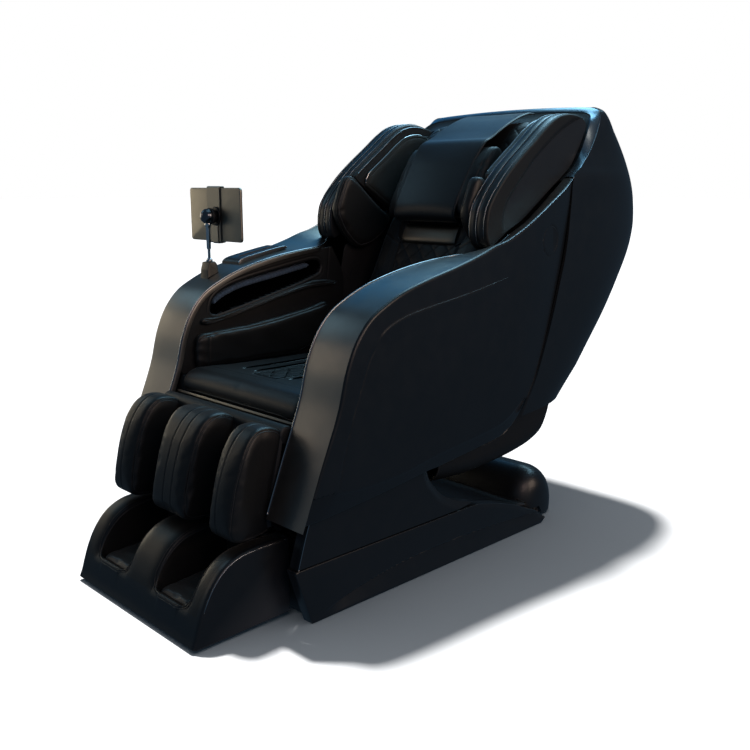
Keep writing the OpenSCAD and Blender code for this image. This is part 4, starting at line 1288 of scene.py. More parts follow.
inner_close(1)
inner_close(-1)

# ------------------------------------------------------------------ seat
ROLL = [(-448, 438), (-463, 446), (-470, 462), (-466, 482), (-450, 498), (-424, 505), (-404, 500), (-404, 438)]
SEAT = [(-440, 436), (-460, 448), (-466, 466), (-458, 488), (-436, 503), (-392, 505), (-250, 500), (-60, 497), (90, 495), (94, 470), (88, 436)]


def line_dist(X, Y, a, b_):
    a, b_ = np.array(a, float), np.array(b_, float)
    d = b_ - a
    t = np.clip(((X - a[0]) * d[0] + (Y - a[1]) * d[1]) / (d @ d), 0, 1)
    return np.hypot(X - a[0] - t * d[0], Y - a[1] - t * d[1])


def quilt(u, v, p, puff=1.3, w=1.4, cut=2.2):
    """Diamond quilting in a plane, p apart along both diagonals."""
    a, b_ = (u + v) / p, (u - v) / p
    da = np.abs(a - np.round(a)) * p / math.sqrt(2)
    db = np.abs(b_ - np.round(b_)) * p / math.sqrt(2)
    h = puff * (np.abs(np.sin(math.pi * a)) * np.abs(np.sin(math.pi * b_))) ** 0.6
    return h - cut * np.exp(-(np.minimum(da, db) / w) ** 2)


def seat():
    ob = soft("seat_pad", [(SEAT, -226, 226), (ROLL, -241, 241)], M_LEATHER, "capsule", voxel=4.8, smooth=16, pressure=4.0, cap=4.5, sub=1, post=6)
    replace(ob, "seat_cushion")

    def d1(x, y, z, N):
        top = sstep(N[:, 2], 0.35, 0.7)
        ax = np.abs(x)
        q = (ax < 46) & (y > -368)
        edge = np.minimum(46 - ax, y + 368)
        k = np.clip(edge / 8, 0, 1) * q
        h = quilt(x, y + 10 - 26, 52) * k
        # frame seam of the quilted centre
        fr = np.minimum(np.where(y > -368, np.abs(ax - 47), np.hypot(ax - np.minimum(ax, 47), y + 368)), np.where(ax < 47, np.abs(y + 368), 99))
        h = h - 2.4 * np.exp(-(fr / 2.0) ** 2)
        # ventilation slots
        for xs in (72, 122):
            dd = line_dist(ax, y, (xs, -344), (xs, -116))
            h = h - 7.5 * np.exp(-(dd / 3.0) ** 4)
        # seam between the front roll and the top
        s = np.abs(y + 392 + 0.00014 * x * x)
        h = h - 1.1 * np.exp(-(s / 2.0) ** 2) * (ax < 214)
        h = h - 1.6 * np.exp(-((ax - 196) / 2.2) ** 2) * (y > -392)
        return h * top
    push(ob, d1)
    sewn(ob, "seat_front_piping", [(-226, -462, 452), (-150, -468, 449), (0, -470, 448), (150, -468, 449), (226, -462, 452)], "capsule", 2.2, 2.0, 1.2, 0.2)
    sewn(ob, "seat_seam", [(-196, -388, 512), (-196, -250, 508), (-196, 60, 505)], "capsule", 1.0, 0.0, 0, stitch=5.0)
    sewn(ob, "seat_seam_b", [(196, -388, 512), (196, -250, 508), (196, 60, 505)], "capsule", 1.0, 0.0, 0, stitch=-5.0)
    t = bvh(ob)
    # black tubes laid in the ventilation slots: painted shade
    for i, xs in enumerate((-122, -72, 72, 122)):
        P = snap([(xs + 9 * s_, y, 520) for s_ in (0,) for y in np.linspace(-340, -120, 60)], t, 0.0, 60)
        for _ in range(8):
            P[1:-1] = 0.5 * P[1:-1] + 0.25 * (P[:-2] + P[2:])
        P[:, 0] = xs
        P[:, 2] = P[:, 2].max() * 0.5 + P[:, 2] * 0.5
        V, F = tube_mesh(P, np.r_[np.linspace(0.6, 2.4, 5), np.full(50, 2.4), np.linspace(2.4, 0.6, 5)], 8)
        make("seat_slot_%d" % (i + 1), V, F, M_SHADE_BLACK, "capsule", None)
    # black lines along the quilting seams: painted shade in the seams
    parts = []
    for q in range(-14, 6):
        for d in (-1, 1):
            line = []
            for k in np.linspace(-44, 44, 26):
                y = 52 * (q + 0.5) + d * k - 10
                if -364 < y < 80:
                    line.append((k, y, 512))
            if len(line) > 4:
                P = snap(line, t, -0.15, 40)
                for _ in range(3):
                    P[1:-1] = 0.5 * P[1:-1] + 0.25 * (P[:-2] + P[2:])
                parts.append(tube_mesh(P, 0.7, 6))
    P = snap([(-46, 80, 512)] + [(-46, y, 512) for y in np.linspace(60, -364, 80)] + [(x, -368, 512) for x in np.linspace(-42, 42, 24)] + [(46, y, 512) for y in np.linspace(-364, 80, 80)], t, -0.1, 40)
    parts.append(tube_mesh(P, 0.9, 6))
    join_parts("seat_quilt_thread", parts, M_SHADE_BLACK, "capsule", None)
    # strip under the front roll, painted dark as shade under the roll; a thin bead keeps the strip's own champagne
    # along its lit top edge
    ob = slab("seat_front_strip", [(-470, 424.5), (-464.8, 424.5), (-464.8, 449.5), (-468.5, 450)], -249.5, 249.5, 1.2, M_DARK, "capsule", "matte_plastic", n=60, k=3, rounds=0)
    replace(ob, "seat_front_plate")
    slab("seat_front_bead", [(-471.2, 446.4), (-467, 446.4), (-467, 450.4), (-470, 450.8)], -248.5, 248.5, 0.7, M_CHAMP, "capsule", "champagne", n=40, k=3, rounds=0)


seat()

# ------------------------------------------------------------------ backrest
BF = sp([(108, 503), (118, 545), (150, 630), (205, 740), (258, 842), (316, 935), (400, 1062), (466, 1139), (520, 1170)], 200)
BR = sp([(184, 506), (214, 592), (272, 704), (332, 812), (400, 928), (492, 1064), (542, 1118), (560, 1146), (553, 1166)], 160)


def backrest():
    F = BF.copy()
    T = np.gradient(F, axis=0); T /= np.linalg.norm(T, axis=1)[:, None]
    N = np.c_[-T[:, 1], T[:, 0]]            # towards the sitter
    prof = np.vstack([F[::4] - N[::4] * 6, BR[::-6]])
    ob = soft("back_pad", [(prof, -216, 216)], M_LEATHER, "capsule", voxel=6.5, smooth=18, pressure=3.5, cap=9.0, sub=1)
    replace(ob, "backrest_pad")
    L = np.r_[0, np.cumsum(np.linalg.norm(np.diff(F, axis=0), axis=1))]

    def d1(x, y, z, N):
        # arc length up the front face
        idx = np.array([0]) if len(y) == 0 else None
        u = np.interp(z * 0.86 + y * 0.5, F[:, 1] * 0.86 + F[:, 0] * 0.5, L)
        front = sstep(-N[:, 1] * 0.86 + N[:, 2] * 0.5, 0.35, 0.75)
        ax = np.abs(x)
        # quilted centre, from the seat up to the neck recess
        half = np.interp(u, [0, 120, 330, 420], [96, 104, 118, 118])
        zone = sstep(half - 3 - ax, 0, 8) * sstep(u, 24, 34) * (1 - sstep(u, 372, 384))
        h = quilt(x, u, 58) * zone
        h = h - 2.6 * np.exp(-((ax - half) / 2.2) ** 2) * (u < 396)
        h = h - 2.4 * np.exp(-((u - 390) / 2.2) ** 2) * (ax < 120)
        # quilted side fields beside the pillow
        z2 = sstep(ax - 126, 0, 6) * sstep(206 - ax, 0, 6) * sstep(u, 470, 480) * (1 - sstep(u, 800, 812))
        h = h + quilt(x, u, 58) * z2
        h = h - 2.2 * np.exp(-((ax - 122) / 2.0) ** 2) * (u > 400)
        h = h - 2.4 * np.exp(-((ax - 208) / 2.0) ** 2)
        # fold of the side bolsters
        fo = np.abs(u - (330 + 0.5 * (ax - 118)))
        h = h - 2.2 * np.exp(-(fo / 2.2) ** 2) * (ax > 118) * (ax < 208)
        h = h + 3.0 * sstep(ax, 122, 150) * sstep(206 - ax, 0, 26) * (u < 470) * front
        return h * front
    push(ob, d1)


backrest()


def neck():
    """Trapezoid frame below the pillow, with a lip at the bottom whose warm metal colour is a painted sheen of light on
    the leather, and side flaps.
    """
    lip = sp([(262, 869), (250, 861), (241, 846), (232, 826), (232, 818), (238, 812), (248, 816)], 40)
    rows = []
    for t in np.linspace(-1, 1, 41):
        w = 104 * t
        k = 1 - abs(t) ** 10
        q = lip.copy()
        rows.append(np.c_[np.full(len(q), w), q[:, 0] + 4 * (1 - k), q[:, 1] + 2 * (1 - k)])
    G = np.array(rows)
    # closed section: run back behind the lip
    back = G[:, ::-1].copy(); back[:, :, 1] += 8; back[:, :, 2] -= 3
    G = np.concatenate([G, back[:, 1:-1]], 1)
    V, F = G.reshape(-1, 3), grid_faces(*G.shape[:2], False, True)
    m = G.shape[1]
    F += [tuple(range(m)), tuple((len(rows) - 1) * m + j for j in range(m))]
    ob = make("neck_lip", V, F, M_LIP_SHEEN, "capsule", 40, 0.005)
    replace(ob, "neck_pad")
    for s, tag in ((1, "left"), (-1, "right")):
        # side flaps lean outwards from the lip
        c = np.array([[(s * 103, 236, 812), (s * 103, 270, 884)], [(s * 150, 256, 838), (s * 146, 300, 926)]], float)
        nu_, nv_ = 14, 20
        us, vs = np.linspace(0, 1, nu_)[:, None, None], np.linspace(0, 1, nv_)[None, :, None]
        G = (1 - us) * ((1 - vs) * c[0, 0] + vs * c[0, 1]) + us * ((1 - vs) * c[1, 0] + vs * c[1, 1])
        G[..., 1] -= (5 * np.sin(math.pi * us) * np.sin(math.pi * vs))[..., 0]
        B = G.copy(); B[..., 1] += 11; B[..., 2] -= 5
        V = np.vstack([G.reshape(-1, 3), B.reshape(-1, 3)])
        F = grid_faces(nu_, nv_) + grid_faces(nu_, nv_, base=nu_ * nv_, flip=True)
        lp = [i * nv_ for i in range(nu_)] + [(nu_ - 1) * nv_ + j for j in range(1, nv_)] + [i * nv_ + nv_ - 1 for i in range(nu_ - 2, -1, -1)] + [j for j in range(nv_ - 2, 0, -1)]
        o = nu_ * nv_
        F += [(lp[i], lp[(i + 1) % len(lp)], lp[(i + 1) % len(lp)] + o, lp[i] + o) for i in range(len(lp))]
        w = make("neck_flap_" + tag, V, F, M_LEATHER, "capsule", 60, 0.005)
        subdiv(w, 1)
        E = [tuple(G[i, 0]) for i in range(0, nu_, 3)] + [tuple(G[-1, j]) for j in range(0, nv_, 4)] + [tuple(G[-1, -1])]
        V, F = tube_mesh(sp(E, 60), 1.8, 8)
        make("neck_flap_piping_" + tag, V, F, M_PIPING, "capsule", None)
    # dark slab behind the lip: painted shade standing for the gap behind it
    slab("neck_recess", [(246, 838), (262, 868), (286, 905), (300, 900), (276, 858), (258, 830)], -100, 100, 3, M_DARK, "capsule", "matte_plastic", n=60)


neck()

# ------------------------------------------------------------------ head pillow
PIL = [(230, 884), (225, 900), (229, 922), (248, 962), (294, 1037), (330, 1082), (350, 1093), (374, 1089), (386, 1070), (340, 996), (284, 914), (262, 888), (243, 876)]


def pillow():
    ob = soft("head_pillow_core", [(inset(rs(chaikin(PIL, 2), 90, True), 2), -163, 163)], M_LEATHER, "pillow", voxel=4.5, smooth=16, pressure=5.0, cap=9.0, sub=1)
    replace(ob, "head_pillow")
    for s, tag in ((1, "left"), (-1, "right")):
        Q = inset(rs(chaikin(PIL, 2), 90, True), 2)[::3]
        sewn(ob, "pillow_seam_" + tag, [(s * 146, *q) for q in Q], "pillow", 2.0, 1.6, 0, closed=True)
    # flap draped over the pillow, back over the top edge
    path = sp([(236, 880), (225, 883), (217, 894), (218, 912), (237, 953), (286, 1033), (326, 1088), (345, 1104), (366, 1112), (430, 1146), (495, 1175), (545, 1189), (572, 1190)], 150)
    T = np.gradient(path, axis=0); T /= np.linalg.norm(T, axis=1)[:, None]
    N = np.c_[-T[:, 1], T[:, 0]]
    if N[60, 0] > 0:
        N = -N
    L = np.r_[0, np.cumsum(np.linalg.norm(np.diff(path, axis=0), axis=1))]; L /= L[-1]
    half = np.interp(L, [0, 0.03, 0.40, 0.50, 0.60, 1.0], [113, 115, 120, 123, 121, 119])
    nx = 49
    rows_o, rows_i = [], []
    for i in range(len(path)):
        xs = np.sin(np.linspace(-1, 1, nx) * math.pi / 2) * half[i]
        e = np.abs(xs) / half[i]
        crown = 5.5 * (1 - e ** 2) * sstep(L[i], 0.0, 0.12) * (1 - sstep(L[i], 0.36, 0.5)) - 4.0 * (1 - e ** 2) * sstep(L[i], 0.55, 0.7) * (1 - sstep(L[i], 0.86, 1.0))
        roll = 3.0 * np.clip((e - 0.965) / 0.035, 0, 1) ** 2
        o = crown + 3.5 - roll
        q = path[i] + N[i] * 0
        rows_o.append(np.c_[xs, q[0] + N[i, 0] * o, q[1] + N[i, 1] * o])
        rows_i.append(np.c_[xs, q[0] + N[i, 0] * (crown - 2.5 + roll * 0.3), q[1] + N[i, 1] * (crown - 2.5 + roll * 0.3)])
    A, B = np.array(rows_o), np.array(rows_i)
    a, b_ = A.shape[:2]
    V = np.vstack([A.reshape(-1, 3), B.reshape(-1, 3)])
    F = grid_faces(a, b_) + grid_faces(a, b_, base=a * b_, flip=True)
    lp = [i * b_ for i in range(a)] + [(a - 1) * b_ + j for j in range(1, b_)] + [i * b_ + b_ - 1 for i in range(a - 2, -1, -1)] + [j for j in range(b_ - 2, 0, -1)]
    o = a * b_
    F += [(lp[i], lp[(i + 1) % len(lp)], lp[(i + 1) % len(lp)] + o, lp[i] + o) for i in range(len(lp))]
    flap = make("pillow_flap", V, F, M_LEATHER2, "pillow", 60, 0.005)
    subdiv(flap, 1)
    replace(flap, "head_pillow")
    for s, tag in ((0, "right"), (-1, "left")):
        E = 0.5 * (A[:, s] + B[:, s])
        V, F = tube_mesh(E, 2.4, 8)
        make("pillow_flap_piping_" + tag, V, F, M_PIPING, "pillow", None)
        E2 = A[2:-2, 4 if s == 0 else -5] + np.c_[np.zeros(a - 4), N[2:-2] * 0.15]
        stitches("pillow_flap_stitch_" + tag, E2, "pillow", 7.5, 4.6, 0.45)
    E = 0.5 * (A[0] + B[0])
    V, F = tube_mesh(E, 2.2, 8)
    make("pillow_flap_hem", V, F, M_PIPING, "pillow", None)


pillow()

# ------------------------------------------------------------------ calf cushions
FIN = np.array([(-511, 448), (-524, 456.5), (-549, 463.5), (-576, 462), (-604, 446), (-632, 406), (-655, 343), (-669, 278), (-672.5, 239), (-667, 220), (-646, 208),
                (-592, 203), (-548, 205), (-540, 218), (-543, 243), (-500, 430), (-503, 440)], float)


def fins():
    for tag, a, b_, mid in (("left", 166, 249, 0), ("right", -249, -166, 0), ("middle", -74, 74, 1)):
        P = rs(chaikin(FIN, 1, True, 0.2), 120, True)
        ob = soft("calf_pad_" + tag, [(inset(P, 3.0), a + 3.5, b_ - 3.5)], M_LEATHER, "legrest", voxel=4.0, smooth=14, pressure=4.5, cap=3.2, sub=1, post=5)
        replace(ob, "calf_fin_" + tag)
        if not mid:
            # the outer side swells towards the shin
            def swell(V):
                k = sstep(-V[:, 1], 560, 640) * sstep(np.abs(V[:, 0]), 175, 249)
                V[:, 0] += np.sign(V[:, 0]) * 12.0 * k
                return V
            warp(ob, swell)
        # front run of the outline, from the top rear round to the bottom rear
        Q = inset(P, -1.0)
        Q = Q[np.r_[0:len(Q)]]
        front = Q[(Q[:, 0] - 0.21 * (Q[:, 1] - 330)) < -538]
        ang = np.arctan2(front[:, 1] - 330, front[:, 0] + 560)
        front = front[np.argsort(np.where(ang < 0, ang + 2 * math.pi, ang))]
        w = b_ - a
        mids = (a + w * 0.45,) if not mid else (-10, 24)
        for i, x in enumerate(mids):
            E = [(x, y, z) for y, z in front[2:-2:3]]
            sewn(ob, "calf_%s_seam_%d" % (tag, i + 1), E, "legrest", 1.8, 1.7, 0.9, 0.1, even=12)
        for i, x in enumerate((a + 3, b_ - 3)):
            s = 1 if i else -1
            side = inset(P, 8)
            E = [(x + s * 8, y, z) for y, z in side[::3]]
            sewn(ob, "calf_%s_piping_%d" % (tag, i + 1), E, "legrest", 2.0, 1.6, 1.2, 0.3, closed=True, even=14)

    # padded roll over the hinge of the calf unit
    lathe("calf_hinge_roll", [(0, 14), (1, 18), (3, 20.5), (8, 21), (492, 21), (497, 20.5), (499, 18), (500, 14)], (-250, -497, 430), (1, 0, 0), M_DARK, "legrest", 40, 40)


fins()

# ------------------------------------------------------------------ footrest
FOOT = sp([(-775, 12), (-768, 28), (-757, 62), (-742, 100), (-718, 140), (-688, 170), (-650, 188), (-600, 194), (-512, 194)], 200)
WELL = np.vstack([sp([(-775, 12), (-768, 28), (-759, 58), (-755.5, 70), (-753, 76), (-748, 78), (-743, 75), (-738, 66), (-730, 58), (-715, 54)], 100)[:-1],
                  sp([(-715, 54), (-640, 50), (-566, 47), (-548, 50), (-541, 62), (-538, 90), (-536, 190)], 100)])


def foot():
    FL = np.r_[0, np.cumsum(np.linalg.norm(np.diff(FOOT, axis=0), axis=1))]
    n = 190
    # ridge and well curves share their lower front; matched point by point after that
    split = 62.0
    R = rs(FOOT, n)
    W = rs(WELL, n)
    kR = int(np.argmin(np.abs(R[:, 1] - split) + (R[:, 0] > -740) * 999))
    kW = int(np.argmin(np.abs(W[:, 1] - split) + (W[:, 0] > -755) * 999))
    m0, m1 = 30, 170
    R = np.vstack([rs(FOOT[:1 + int(np.argmin(np.abs(FOOT[:, 1] - split)))], m0), rs(FOOT[int(np.argmin(np.abs(FOOT[:, 1] - split))):], m1)[1:]])
    iw = int(np.argmin(np.abs(WELL[:, 1] - split) + (WELL[:, 0] > -752) * 999))
    W = np.vstack([rs(WELL[:iw + 1], m0), rs(WELL[iw:], m1)[1:]])
    N = np.gradient(R, axis=0); N /= np.linalg.norm(N, axis=1)[:, None]
    N = np.c_[-N[:, 1], N[:, 0]]
    xs = np.r_[0, 15, 30, 40, 47, 51, 54, 56, 57.5, 59, 60.5, 62, 63.5, 65, 67, 69, 72, 75, 78, 81, 84, 87, 90, 93, 96, 99, 103, 110, 120, 131, 142, 152, 159, 163, 166, 169, 172, 175, 178, 181, 184, 187, 190, 193, 195, 197, 198.5, 200, 201.5, 203, 204.5, 206,
               208, 211, 216, 222, 230, 238, 245, 250, 254, 257, 259.2, 260.8, 261.7, 262]
    cols = []
    kk = np.clip(-717 - W[:, 0], 0, 38)
    hw = 69 - 40 + np.sqrt(np.maximum(1600 - kk * kk, 0))
    for x in xs:
        w = sstep(hw + 4.5 - abs(x - 131), 0, 9)[:, None]
        # ridge crown: rolls down towards the wells and the outer side
        if x < 57.5:
            e = 7.0 * np.clip((x - 30) / 30, 0, 1) ** 2.2
        elif x > 204:
            e = 7.0 * np.clip((232 - x) / 28, 0, 1) ** 2.2 if x < 232 else 0.0
            k = max(0.0, 8 - (262 - x))
            e += 8 - math.sqrt(max(0, 64 - k * k))
        else:
            e = 7.0
        ramp_ = sstep(R[:, 1], 62, 100)[:, None]
        front = R - N * e * (ramp_ if x < 245 else 1.0)
        c = front * (1 - w) + W * w
        cols.append(np.c_[np.full(len(c), x), c])
    G = np.array(cols)
    G = np.concatenate([mir(G[::-1])[:-1], G], 0)
    nu_, nv_ = G.shape[:2]
    V = [G.reshape(-1, 3)]
    F = grid_faces(nu_, nv_)
    off = nu_ * nv_
    # side walls, underside and back
    for i in (0, nu_ - 1):
        ring = [i * nv_ + j for j in range(nv_)]
        x = G[i, 0, 0]
        V.append(np.array([(x, -512, 12.0)]))
        F.append(tuple(ring + [off]))
        off += 1
    V = np.vstack(V)
    ca, cb = off - 2, off - 1
    F.append(tuple([i * nv_ for i in range(nu_)] + [cb, ca]))
    F.append(tuple([i * nv_ + nv_ - 1 for i in range(nu_)][::-1] + [ca, cb]))
    ob = make("footrest_shell", V, F, M_SHELL, "footrest", 40, 0.01)
    replace(ob, "foot_housing")
    ob.data.materials.append(M_LEATHER)
    me = ob.data
    for p in me.polygons:
        c = p.center / MM
        ax = abs(c.x)
        if 58.5 < ax < 203.5 and c.y > -750 and len(p.vertices) < 8:
            p.material_index = 1
        if (ax < 57 or 206 < ax < 246) and c.z > 74 and len(p.vertices) < 8:
            p.material_index = 1
    # piping round each well: up one ridge edge, across the lip and back
    for s, tag in ((1, "left"), (-1, "right")):
        arc = R[40:-4:6]
        Nn = N[40:-4:6]
        for d, lab, rr in ((0.0, "a", 1.4), (7.5, "b", 0.9)):
            jl = int(np.argmin(np.abs(W[:, 0] + 752) + (np.arange(len(W)) > 60) * 999))
            jj = list(range(len(W) - 4, jl, -5))
            surf = lambda x, j: (R[j] - N[j] * 7.0 * float(sstep(R[j, 1], 62, 100))) * (1 - sstep(hw[j] + 4.5 - abs(x - 131), 0, 9)) + W[j] * sstep(hw[j] + 4.5 - abs(x - 131), 0, 9)
            A1 = [(s * (131 - hw[j] - 3.4 - d), *surf(131 - hw[j] - 3.4 - d, j)) for j in jj]
            A2 = [(s * (131 + hw[j] + 3.4 + d), *surf(131 + hw[j] + 3.4 + d, j)) for j in jj]
            q = W[jl] + [-d * 0.35, -d * 0.8]
            lip = [(s * x, *q) for x in (131 - 30 - d, 131 - 15, 131, 131 + 15, 131 + 30 + d)]
            E = A1 + lip + A2[::-1]
            P_ = sp(E, 300)
            t = bvh(ob)
            P_ = snap(P_, t, rr * 0.45, 14)
            for _ in range(10):
                P_[1:-1] = 0.5 * P_[1:-1] + 0.25 * (P_[:-2] + P_[2:])
            V2, F2 = tube_mesh(P_, rr, 8)
            make("footrest_piping_%s_%s" % (tag, lab), V2, F2, M_PIPING, "footrest", None)
        # bright bead along the outer upper edge: a painted highlight line
        E = [(s * 258.6, *(q - nn * 5.2)) for q, nn in zip(R[44:-3:6], N[44:-3:6])]
        P_ = snap(sp(E, 140), bvh(ob), 0.3, 12)
        RR = np.full(140, 1.0); RR[:12] = np.linspace(0.3, 1.0, 12)
        V2, F2 = tube_mesh(P_, RR, 8)
        make("footrest_bead_" + tag, V2, F2, M_TRIM_HIGHLIGHT, "footrest", None)
        # sole pad in the well; its lighter leather colour is a painted reflection
        sole = [(-746, 66), (-732, 60), (-700, 57), (-640, 53), (-566, 50), (-548, 52), (-548, 98), (-566, 96), (-640, 86), (-700, 80.5), (-726, 80), (-743, 77)]
        pad = soft("foot_sole_" + tag, [(inset(rs(chaikin(sole, 1), 80, True), 2), *sorted((s * 63, s * 199)))], M_SOLE_SHEEN, "footrest", voxel=3.6, smooth=6, pressure=4.0, cap=4.0, sub=1)

        def corner(V, s=s):
            k = np.clip(-712 - V[:, 1], 0, 34)
            f_ = (29 + np.sqrt(np.maximum(1600 - k * k, 0))) / 69
            V[:, 0] = s * 131 + (V[:, 0] - s * 131) * f_
            return V
        warp(pad, corner)
        replace(pad, "foot_pads")

        def knobs(x, y, z, Nn_, s=s):
            up = sstep(Nn_[:, 2], 0.6, 0.9)
            h = np.zeros_like(x)
            for cy in (-690, -650, -610):
                h += 2.2 * np.exp(-(((y - cy) / 11) ** 2 + ((np.abs(x) - 131) / 34) ** 4))
            dd = np.minimum(np.abs(np.abs(x) - 84), np.abs(np.abs(x) - 178))
            return (h - 1.4 * np.exp(-(dd / 1.8) ** 2)) * up
        push(pad, knobs)
        # heel pad at the back of the well
        heel = [(-549, 66), (-543, 62), (-541, 90), (-539, 184), (-543, 190), (-552, 188), (-556, 120), (-556, 80)]
        hp = soft("foot_heel_" + tag, [(inset(rs(chaikin(heel, 1), 60, True), 1.5), *sorted((s * 70, s * 192)))], M_LEATHER, "footrest", voxel=3.6, smooth=8, pressure=4.0, cap=4.0, sub=1)
        replace(hp, "foot_pads")


foot()

# ------------------------------------------------------------------ inside of the arms
LIN_TOP = inset(np.vstack([sp([(-467, 502), (-442, 590), (-413, 650), (-373, 695), (-325, 723), (-262, 749), (-180, 771), (-95, 787), (-24, 796), (50, 803), (96, 806)], 160)]), 0)
TROUGH = chaikin([(-352, 646), (-338, 687), (-262, 721), (15, 767), (44, 762), (54, 742), (40, 716), (-318, 633), (-342, 634)], 2, True, 0.22)


def arm_inside(side):
    tag = "left" if side > 0 else "right"
    top = LIN_TOP.copy()
    T = np.gradient(top, axis=0); T /= np.linalg.norm(T, axis=1)[:, None]
    N = np.c_[T[:, 1], -T[:, 0]]
    top = top + N * 6
    cut_ = int(np.argmin(np.abs(top[:, 0] + 400)))
    L = top[:cut_ + 1]
    Tt = top[cut_:]
    R = sp([(122, 482), (128, 520), (140, 620), (138, 720), tuple(top[-1])], 60)
    B = sp([tuple(L[0]), (-445, 484), (-300, 481), (0, 481), (122, 482)], 160)
    B = np.vstack([L[0], (-440, 482), (-300, 481), (0, 481), (122, 482)])
    tr = rs(TROUGH, 160, True)

    def f(Y, Z, d):
        ins = inside(Y, Z, tr)
        dt, _ = sdf(Y, Z, tr, True)
        sd = np.where(ins, dt, -dt)
        x = 262.0 + 0 * Y
        x = x + 84.0 * sstep(sd, 1.0, 10.0) + 2.0 * sstep(sd, -5, 2)
        # swell of the lower lip that the pad lies on
        x = x + 1.2 * np.exp(-((sd + 9) / 2.0) ** 2)
        # vertical seam near the backrest
        x = x + 1.5 * np.exp(-((Y - 74 - 0.1 * (Z - 700)) / 1.8) ** 2) * (Z > 690)
        return x
    ob = plate("arm_inner_" + tag, B, Tt, L, R, f, 268.5, M_LINER, "capsule", side, 260, 130, 3.0, -1, 0.006, back=False)
    replace(ob, "arm_liner_" + tag)
    # the trough's deep inner faces get the painted shade black
    ob.data.materials.append(M_SHADE_BLACK)
    for p in ob.data.polygons:
        if abs(p.center.x) > 0.270:
            p.material_index = 1
    # tray behind the trough, in the painted shade black that stands for the shade at the back of the trough
    tray = slab("arm_tray_" + tag, inset(tr, -6)[::2], *sorted((side * 345.5, side * 352)), 2.0, M_SHADE_BLACK, "capsule", "matte_plastic", n=80, k=3, rounds=0)
    replace(tray, "arm_liner_" + tag)
    # padded roll on the lower lip
    P = [(-388, 618), (-380, 611), (-352, 607), (-33, 678), (108, 684), (117, 700), (22, 710), (-40, 698), (-320, 632), (-384, 633)]
    pad = soft("arm_pad_" + tag, [(inset(rs(chaikin(P, 1), 140, True), 1.5), *sorted((side * 249.5, side * 261)))], M_LEATHER, "capsule", voxel=3.4, smooth=6, pressure=4.0, cap=4.0, sub=1)
    replace(pad, "arm_pads")
    low = [(side * 249, y, z) for y, z in ((-372, 617), (-352, 613.5), (-200, 646), (-33, 683.5), (100, 689))]
    sewn(pad, "arm_pad_piping_" + tag, low, "capsule", 1.8, 1.6, 1.2, 0.2)
    low = [(side * 249, y, z) for y, z in ((-372, 626), (-346, 621.5), (-200, 654), (-36, 691), (90, 697))]
    sewn(pad, "arm_pad_line_" + tag, low, "capsule", 1.8, 1.8, 0.0)
    # hip airbag
    H = [(-408, 486), (-417, 504), (-416, 566), (-408, 590), (-385, 600), (-181, 612), (23, 642), (60, 646), (78, 630), (58, 486)]
    hip = soft("hip_pad_" + tag, [(inset(rs(chaikin(H, 1), 140, True), 4.5), *sorted((side * 241.5, side * 260.5)))], M_LEATHER, "capsule", voxel=4.2, smooth=12, pressure=4.5, cap=5.0, sub=1, post=5)
    replace(hip, "hip_pads")

    def wrinkle(x, y, z, Nn):
        k = np.exp(-np.clip(y + 400, 0, None) / 26.0)
        h = k * 0.7 * np.sin((z - 480) * 0.21 + 0.05 * (y + 400)) * np.exp(-((z - 540) / 60) ** 2)
        far = 0.8 * np.sin(y * 0.045 + 0.02 * z) * np.sin(z * 0.06 + 1.0)
        return h + far
    push(hip, wrinkle)
    sewn(hip, "hip_top_seam_" + tag, [(side * 238, y, z) for y, z in ((-404, 572), (-380, 584), (-181, 597), (23, 627), (56, 632))], "capsule", 2.0, 1.7, 0.0)
    sewn(hip, "hip_front_seam_" + tag, [(side * 238, y, z) for y, z in ((-371, 488), (-373, 520), (-372, 556), (-368, 584))], "capsule", 2.0, 2.0, 0.0)
    # ribbed hand airbag in the roof of the trough; its lightened blue colour is painted light so it shows in the
    # trough's shade
    up = sp([(-330, 664), (-320, 675), (-256, 702), (-120, 727), (12, 750)], 200)
    rows = []
    n = len(up)
    Ls = np.r_[0, np.cumsum(np.linalg.norm(np.diff(up, axis=0), axis=1))]
    T = np.gradient(up, axis=0); T /= np.linalg.norm(T, axis=1)[:, None]
    N = np.c_[T[:, 1], -T[:, 0]]
    for i in range(n):
        rib = 1.7 * abs(math.sin(math.pi * Ls[i] / 11.0)) ** 0.7
        end = math.sqrt(max(0.02, 1 - max(0, abs(2 * i / (n - 1) - 1) - 0.92) ** 2 / 0.0064))
        sec = []
        for a in np.linspace(0, 2 * math.pi, 28, endpoint=False):
            cx, cz = math.cos(a), math.sin(a)
            cx = math.copysign(abs(cx) ** 0.5, cx); cz = math.copysign(abs(cz) ** 0.8, cz)
            w_, h_ = 36.0 * (0.96 + 0.04 * end), (8.5 + (rib if cz > 0.1 or cx < -0.6 else 0)) * end
            off = (N[i] * (cz * h_ + 1.0))
            sec.append((side * (309.5 + cx * (w_ + (rib if cx < -0.8 else 0))), up[i, 0] + off[0], up[i, 1] + off[1]))
        rows.append(sec)
    G = np.array(rows)
    F = grid_faces(n, 28, False, True) + [tuple(range(28)), tuple((n - 1) * 28 + j for j in range(28))]
    ob = make("hand_airbag_" + tag, G.reshape(-1, 3), F, M_AIRBAG_LIT, "capsule", 70, 0.005)
    replace(ob, "hand_airbags")


arm_inside(1)
arm_inside(-1)

# ------------------------------------------------------------------ pivot caps, tablet, holder, pocket
for s, tag in ((1, "left"), (-1, "right")):
    ob = lathe("pivot_cap_" + tag, [(0, 37.0), (9.0, 37.2), (10.2, 36.9), (10.9, 36.1), (11.1, 35.0), (10.6, 33.6), (10.4, 32.4), (10.4, 0.6)],
               (s * 371.5, 302, 837), (s, 0, 0), M_SHELL, "capsule", 72, 50)
    replace(ob, "pivot_caps")


